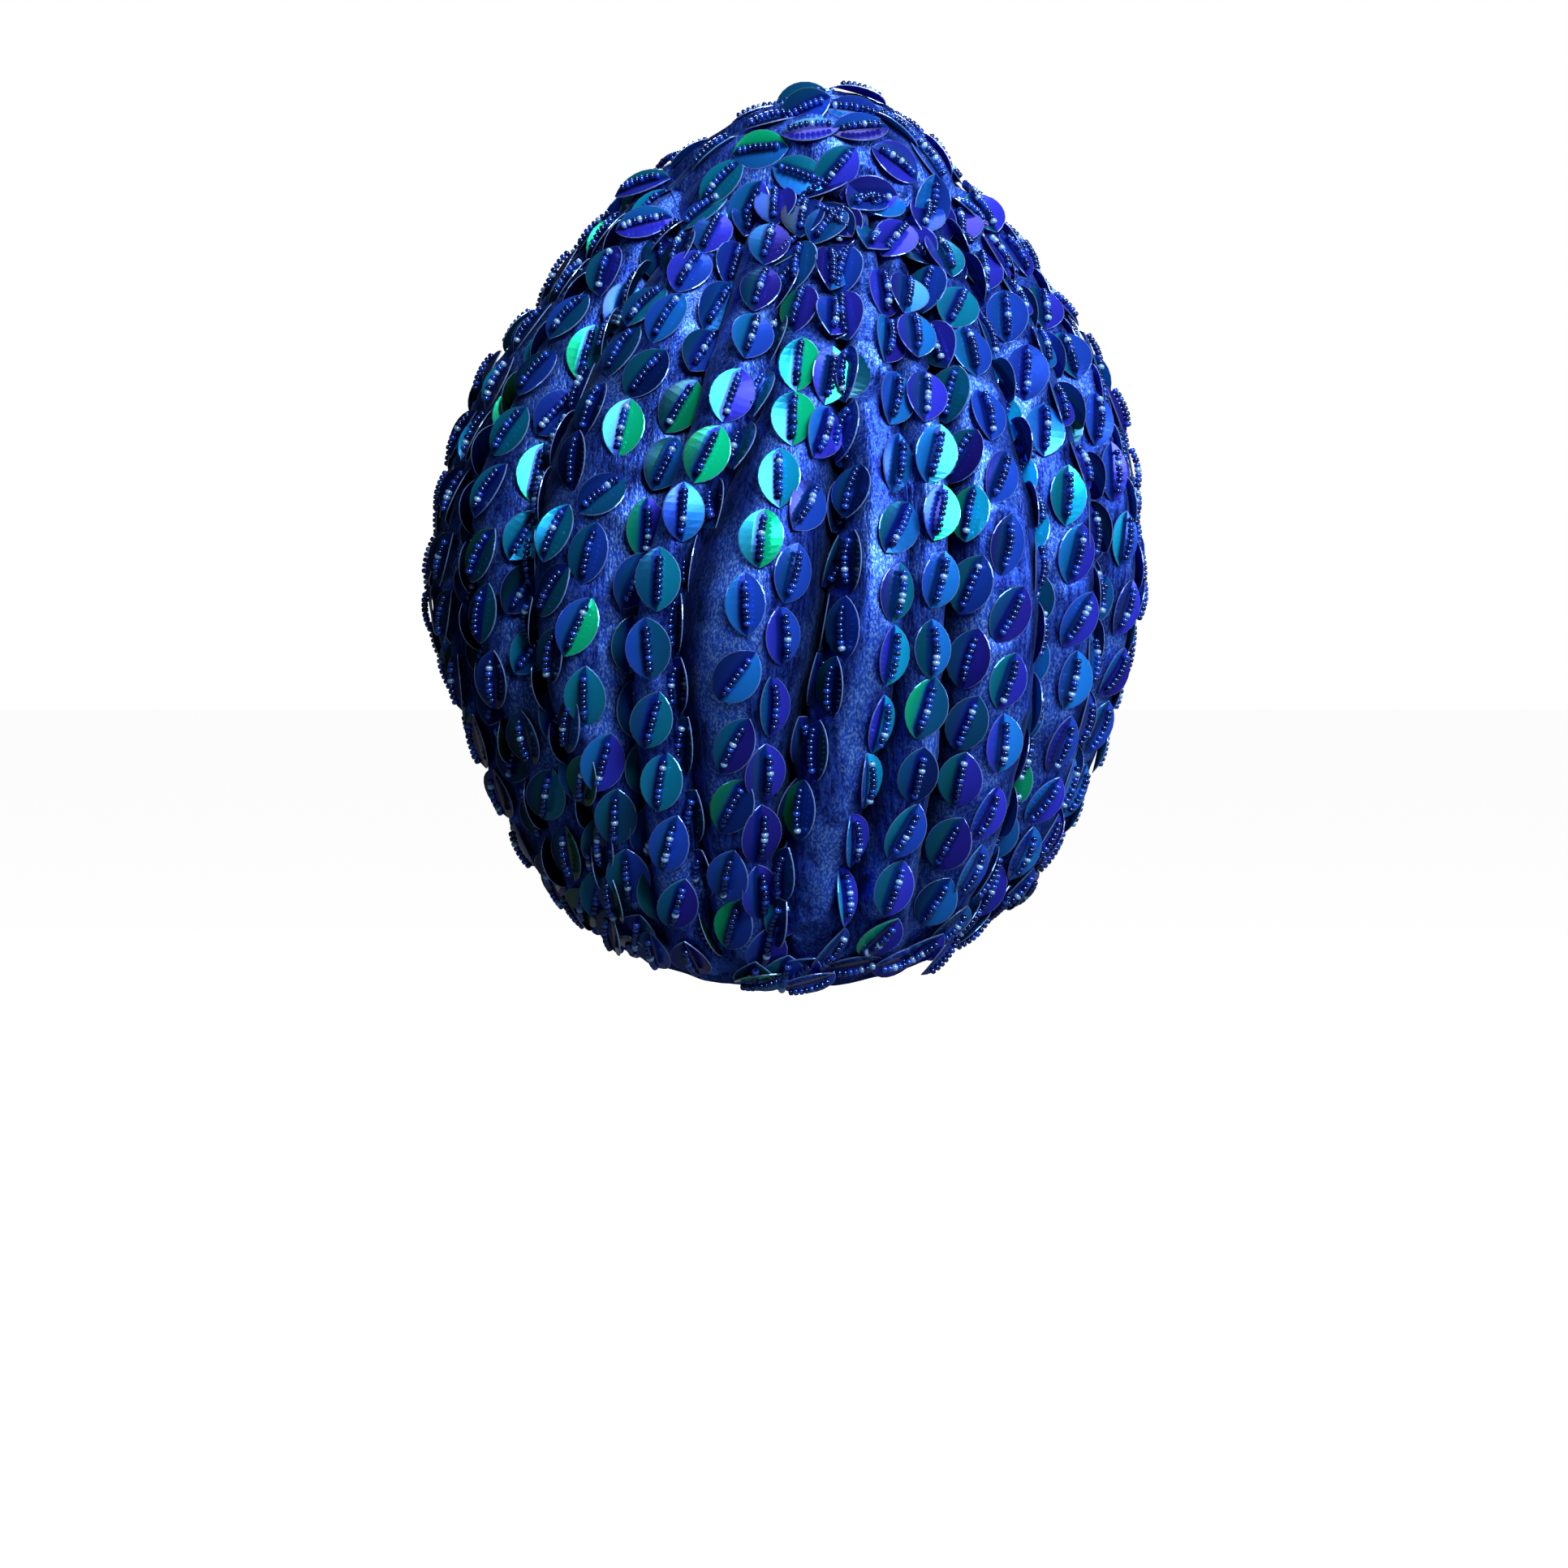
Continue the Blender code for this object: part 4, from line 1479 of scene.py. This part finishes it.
@dataclass
class LeafSequins:
    """The thin pointed sequins, each folded along its middle, with a painted highlight on one cut edge and painted
    shade on the other.
    """

    leaves: LeafSet
    finish: Material
    stations: int = 13
    rim: float = 0.32
    thickness: float = 0.25
    # The tint of the painted highlight on the cut edge, and of the dark painted reflection of the bead row.
    rim_light_tint: Colour = (0.20, 0.36, 0.80)
    bead_reflection_tint: Colour = (0.002, 0.008, 0.16)
    mirror_columns: tuple[tuple[float, float], ...] = ((1.0, 0.3), (1.9, 0.5), (2.9, 0.7))

    def build(self, index: int) -> tuple[Array, Array, Array]:
        """Builds one leaf.

        Args:
            index: Which leaf.

        Returns:
            Its points, faces and point tints.
        """
        t = np.sin(np.linspace(-math.pi / 2, math.pi / 2, self.stations))
        along = t * self.leaves.length[index] / 2
        half = np.maximum(self.leaves.half_width_at(index, along), 0.12)
        inner = np.maximum(half - self.rim, half * 0.5)
        near, mirror, past = (np.minimum(at, inner * share) for at, share in self.mirror_columns)
        columns = [-half, -inner, -near, 0.0 * half, mirror, past, inner, half]
        across = np.stack(columns, axis=1)
        along = np.repeat(along[:, None], across.shape[1], axis=1)
        above = self.leaves.rise(index, along, across)
        above[:, [0, -1]] -= self.thickness * 0.6
        top = np.stack([along, across, above], axis=-1).reshape(-1, 3)
        under = top - (0.0, 0.0, self.thickness)
        points = self.leaves.place(np.concatenate([top, under]), index)
        wide, rows = across.shape[1], self.stations
        upper = grid_faces(rows, wide, False)
        lower = upper[:, ::-1] + rows * wide
        grid = np.arange(rows * wide).reshape(rows, wide)
        loop = np.concatenate([grid[0], grid[1:, -1], grid[-1, -2::-1], grid[-2:0:-1, 0]])
        following = np.roll(loop, -1)
        edge = np.stack([following, loop, loop + rows * wide, following + rows * wide], axis=1)
        faces = np.concatenate([upper[:, ::-1], lower[:, ::-1], edge[:, ::-1]])
        # One strip beside the fold is made 20% lighter. The fold and the strip beside it take a dark painted
        # reflection of the bead row with painted sheen, and the next strip is darkened. Each leaf is lighter towards
        # one tip, a painted light gradient. One cut edge gets a painted highlight, the other half as bright, in
        # painted shade.
        tints = np.empty((rows, wide, 3))
        tints[:, :4] = self.leaves.tints[index, 0]
        tints[:, 4:] = self.leaves.tints[index, 1]
        tints[:, 2] *= 1.2
        tints[:, 3:5] = np.array(self.bead_reflection_tint) + self.leaves.glow[index] * 0.08
        tints[:, 5] = tints[:, 5] * 0.55 + self.leaves.glow[index] * 0.2
        tints *= (1 + 0.22 * t)[:, None, None]
        tints[:, 0] = self.rim_light_tint
        tints[:, -1] = np.array(self.rim_light_tint) * 0.5
        tints = tints.reshape(-1, 3)
        return points, faces, np.concatenate([tints, tints])

    def make(self, name: str, chosen: Array) -> Piece:
        """Makes one piece of the chosen leaves."""
        return join_parts(name, [self.build(int(index)) for index in chosen], self.finish, smooth=False)


class BeadTone(Enum):
    """The tints of the silver-lined and the plain seed beads."""

    SILVER = (0.22, 0.44, 0.86)
    SAPPHIRE = (0.012, 0.055, 0.46)
    INK = (0.002, 0.010, 0.12)

    @staticmethod
    def pick(chance: float) -> "BeadTone":
        """The tint for a random number from 0 to 1."""
        return BeadTone.SILVER if chance < 0.1 else BeadTone.SAPPHIRE if chance < 0.42 else BeadTone.INK


@dataclass
class SeedBeads:
    """An arched row of small barrel beads sewn over the fold of every sequin."""

    leaves: LeafSet
    finish: Material
    count: int = 8
    radius: float = 1.16
    spacing: float = 1.78
    sides: int = 10
    arch: float = 0.9
    clearance: float = 0.25
    barrel: tuple[tuple[float, float], ...] = ((-0.62, 0.42), (-0.33, 1.0), (0.33, 1.0), (0.62, 0.42))
    barrel_length: float = 0.78

    def unit_bead(self) -> tuple[Array, Array]:
        """Works out one bead, lying along its thread.

        Returns:
            Its points and faces.
        """
        reach, turn = self.spacing, whole_turn(self.sides)
        points = [
            [x * reach * self.barrel_length, r * math.cos(a), r * math.sin(a)] for x, r in self.barrel for a in turn
        ]
        faces = grid_faces(len(self.barrel), self.sides, True)
        return np.array(points) * (1.0, self.radius, self.radius), faces

    def build(self, index: int, rng: Chance) -> tuple[Array, Array, Array]:
        """Builds one leaf's beads.

        Args:
            index: Which leaf.
            rng: Gives the beads' small unevenness.

        Returns:
            Their points, faces and point tints.
        """
        shape, faces = self.unit_bead()
        number = np.arange(self.count) - (self.count - 1) / 2
        across_shift = rng.normal(0, 0.25)
        points, tints = [], []
        for step in number:
            t = step / ((self.count - 1) / 2)
            height = self.clearance + self.radius + self.arch * (1 - t * t)
            slope = -2 * self.arch * t / (self.spacing * self.count / 2)
            lean = math.atan(slope)
            grown = shape * rng.uniform(0.93, 1.05)
            x = grown[:, 0] * math.cos(lean) - grown[:, 2] * math.sin(lean)
            z = grown[:, 0] * math.sin(lean) + grown[:, 2] * math.cos(lean)
            across = grown[:, 1] + across_shift + rng.normal(0, 0.1)
            local = np.stack([x + step * self.spacing, across, z + height], axis=-1)
            points.append(self.leaves.place(local, index))
            tints.append(np.tile(BeadTone.pick(rng.random()).value, (len(shape), 1)))
        every = np.concatenate([faces + bead * len(shape) for bead in range(self.count)])
        return np.concatenate(points), every, np.concatenate(tints)

    def make(self, name: str, chosen: Array) -> Piece:
        """Makes one piece of the chosen leaves' beads."""
        rng = np.random.default_rng(61 + int(chosen[0]))
        return join_parts(name, [self.build(int(index), rng) for index in chosen], self.finish, smooth=True)


class Lamp(NamedTuple):
    """One soft lamp: its place and size in metres, and its power in watts."""

    name: str
    place: Colour
    size: float
    power: float
    colour: Colour


LAMPS = (
    Lamp("key_lamp", (0.68, -1.4, 1.15), 0.9, 57.0, (1.0, 0.99, 0.97)),
    Lamp("side_lamp", (1.6, -0.1, 0.5), 0.5, 10.0, (0.95, 0.97, 1.0)),
    Lamp("left_lamp", (-1.3, -1.1, 1.0), 0.14, 1.3, (0.92, 0.96, 1.0)),
    Lamp("top_lamp", (0.1, 0.3, 1.6), 0.8, 8.0, (1.0, 1.0, 1.0)),
    Lamp("front_lamp", (0.1, 1.7, 0.8), 0.7, 26.0, (1.0, 0.99, 0.97)),
)
WHITE = (1.0, 1.0, 1.0)


@dataclass(frozen=True)
class Studio:
    """A plain pale floor, soft lamps and the camera behind the hat."""

    distance: float = 1.5
    elevation_deg: float = 2.0
    target: Colour = (-0.001, 0.0, 0.0226)
    frame_width: float = 0.527
    sensor: float = 36.0
    lit_place: Colour = (0.0, 0.0, 0.1)
    air_light: float = 0.025
    floor_height: float = -0.17
    floor_reach: float = 12.0
    floor_glow: float = 0.97
    floor_shade: float = 0.09

    @staticmethod
    def put(name: str, data: bpy.types.ID, place: Vector, facing: Vector) -> Piece:
        """Puts a camera or a lamp in the scene.

        Args:
            name: Its name.
            data: The camera or the light.
            place: Where it stands, in metres.
            facing: The way it looks.

        Returns:
            The linked object.
        """
        made = bpy.data.objects.new(name, data)
        made.location = place
        made.rotation_euler = facing.to_track_quat("-Z", "Y").to_euler()
        bpy.context.scene.collection.objects.link(made)
        return made

    def make_camera(self) -> None:
        """Makes the camera, looking along +Y."""
        data = bpy.data.cameras.new("camera")
        data.sensor_width = self.sensor
        data.lens = self.sensor * self.distance / self.frame_width
        tip = math.radians(self.elevation_deg)
        back = Vector((0.0, -math.cos(tip), math.sin(tip)))
        bpy.context.scene.camera = self.put("camera", data, Vector(self.target) + back * self.distance, -back)

    def make_lamp(self, lamp: Lamp) -> None:
        """Makes one soft lamp that faces the hat.

        Args:
            lamp: The lamp's place, size and light.
        """
        data = bpy.data.lights.new(lamp.name, "AREA")
        data.size, data.energy, data.color = lamp.size, lamp.power, lamp.colour
        self.put(lamp.name, data, Vector(lamp.place), Vector(self.lit_place) - Vector(lamp.place))

    def make_world(self) -> None:
        """Makes the pale surroundings, white to the eye and dimmer as light."""
        world = bpy.data.worlds.new("studio_air")
        world.use_nodes = True
        recipe = NodeRecipe(world.node_tree)
        strength = recipe.spread(recipe.add("LightPath", "Is Camera Ray", {}), self.air_light, 1.0)
        recipe.feed(world.node_tree.nodes["Background"], {"Strength": strength, "Color": WHITE})
        bpy.context.scene.world = world

    def make_floor(self) -> None:
        """Makes the plain floor below the hat."""
        material, recipe = new_material("pale_floor")
        glow = recipe.times(recipe.add("LightPath", "Is Camera Ray", {}), self.floor_glow)
        grey = (self.floor_shade,) * 3
        recipe.dress({"Base Color": grey, "Roughness": 0.8, "Emission Strength": glow, "Emission Color": WHITE})
        half, z = self.floor_reach / MM, self.floor_height / MM
        corners = np.array([[-half, -half, z], [half, -half, z], [half, half, z], [-half, half, z]])
        make_mesh("floor", corners, [[0, 1, 2, 3]], material, smooth=False)

    def make(self) -> None:
        """Makes the whole studio."""
        self.make_camera()
        self.make_world()
        self.make_floor()
        for lamp in LAMPS:
            self.make_lamp(lamp)
        bpy.context.scene.view_settings.view_transform = "Standard"


def search_tree(points: Array, wide: int) -> BVHTree:
    """Makes a search tree of a face made of rings.

    Args:
        points: The points in millimetres, ring by ring.
        wide: How many points a ring has.

    Returns:
        The tree.
    """
    faces = grid_faces(len(points) // wide, wide, True).tolist()
    faces.append(list(range(len(points) - wide, len(points))))
    return BVHTree.FromPolygons([Vector(point) for point in points], faces)


def settle(piece: Piece, replaced: str | None = None) -> None:
    """Makes a piece ride on the hat's root body, and hides the CAD solid that it stands for.

    Args:
        piece: The piece.
        replaced: The CAD node that it replaces, if any.
    """
    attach(piece, "root")
    if replaced:
        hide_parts(replaced)
    LOG.info("%s: %d faces", piece.name, len(piece.data.polygons))


def main() -> None:
    """Builds the hat piece by piece, then the studio."""
    logging.basicConfig(level=logging.INFO, format="%(message)s")
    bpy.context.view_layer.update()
    form = CrownForm()
    velvet = VelvetFinish().make()
    backing = VELVET_BACKING.make()
    crown = CrownCloth(form, velvet, backing)
    outer, wide = crown.outer_points()
    crown_tree = search_tree(outer, wide)
    tuck = TopTuck(velvet)
    planner = LeafPlanner(form)
    tuck_points = tuck.points(crown_tree)
    on_crown, on_tuck = planner.lay_on_crown(), planner.lay_on_tuck(tuck, crown_tree)
    clear = planner.clear_of(on_crown, search_tree(tuck_points, tuck.around))
    leaves = join_leaf_sets([on_crown, on_tuck], [clear, np.ones(len(on_tuck.centre), bool)])
    LOG.info("leaves: %d", len(leaves.centre))
    presser = ClothPresser(leaves)
    presser.lift(outer)
    crown_piece = crown.make(presser.press(outer), wide)
    settle(crown_piece, "crown")
    tuck_piece = tuck.make(presser.press(tuck_points))
    settle(tuck_piece, "top_tuck")
    hem = HemBand(velvet)
    band = hem.make()
    settle(band, "hem_band")
    sequins = LeafSequins(leaves, SEQUIN_GLOSS.make())
    beads = SeedBeads(leaves, BEAD_GLASS.make())
    trim = []
    for zone, (first, past) in TRIM_ZONES.items():
        chosen = np.flatnonzero((leaves.group >= first) & (leaves.group < past))
        trim += [sequins.make(f"sequins_{zone}", chosen), beads.make(f"seed_beads_{zone}", chosen)]
    for piece in trim:
        settle(piece)
    Studio().make()


if __name__ == "__main__":
    main()
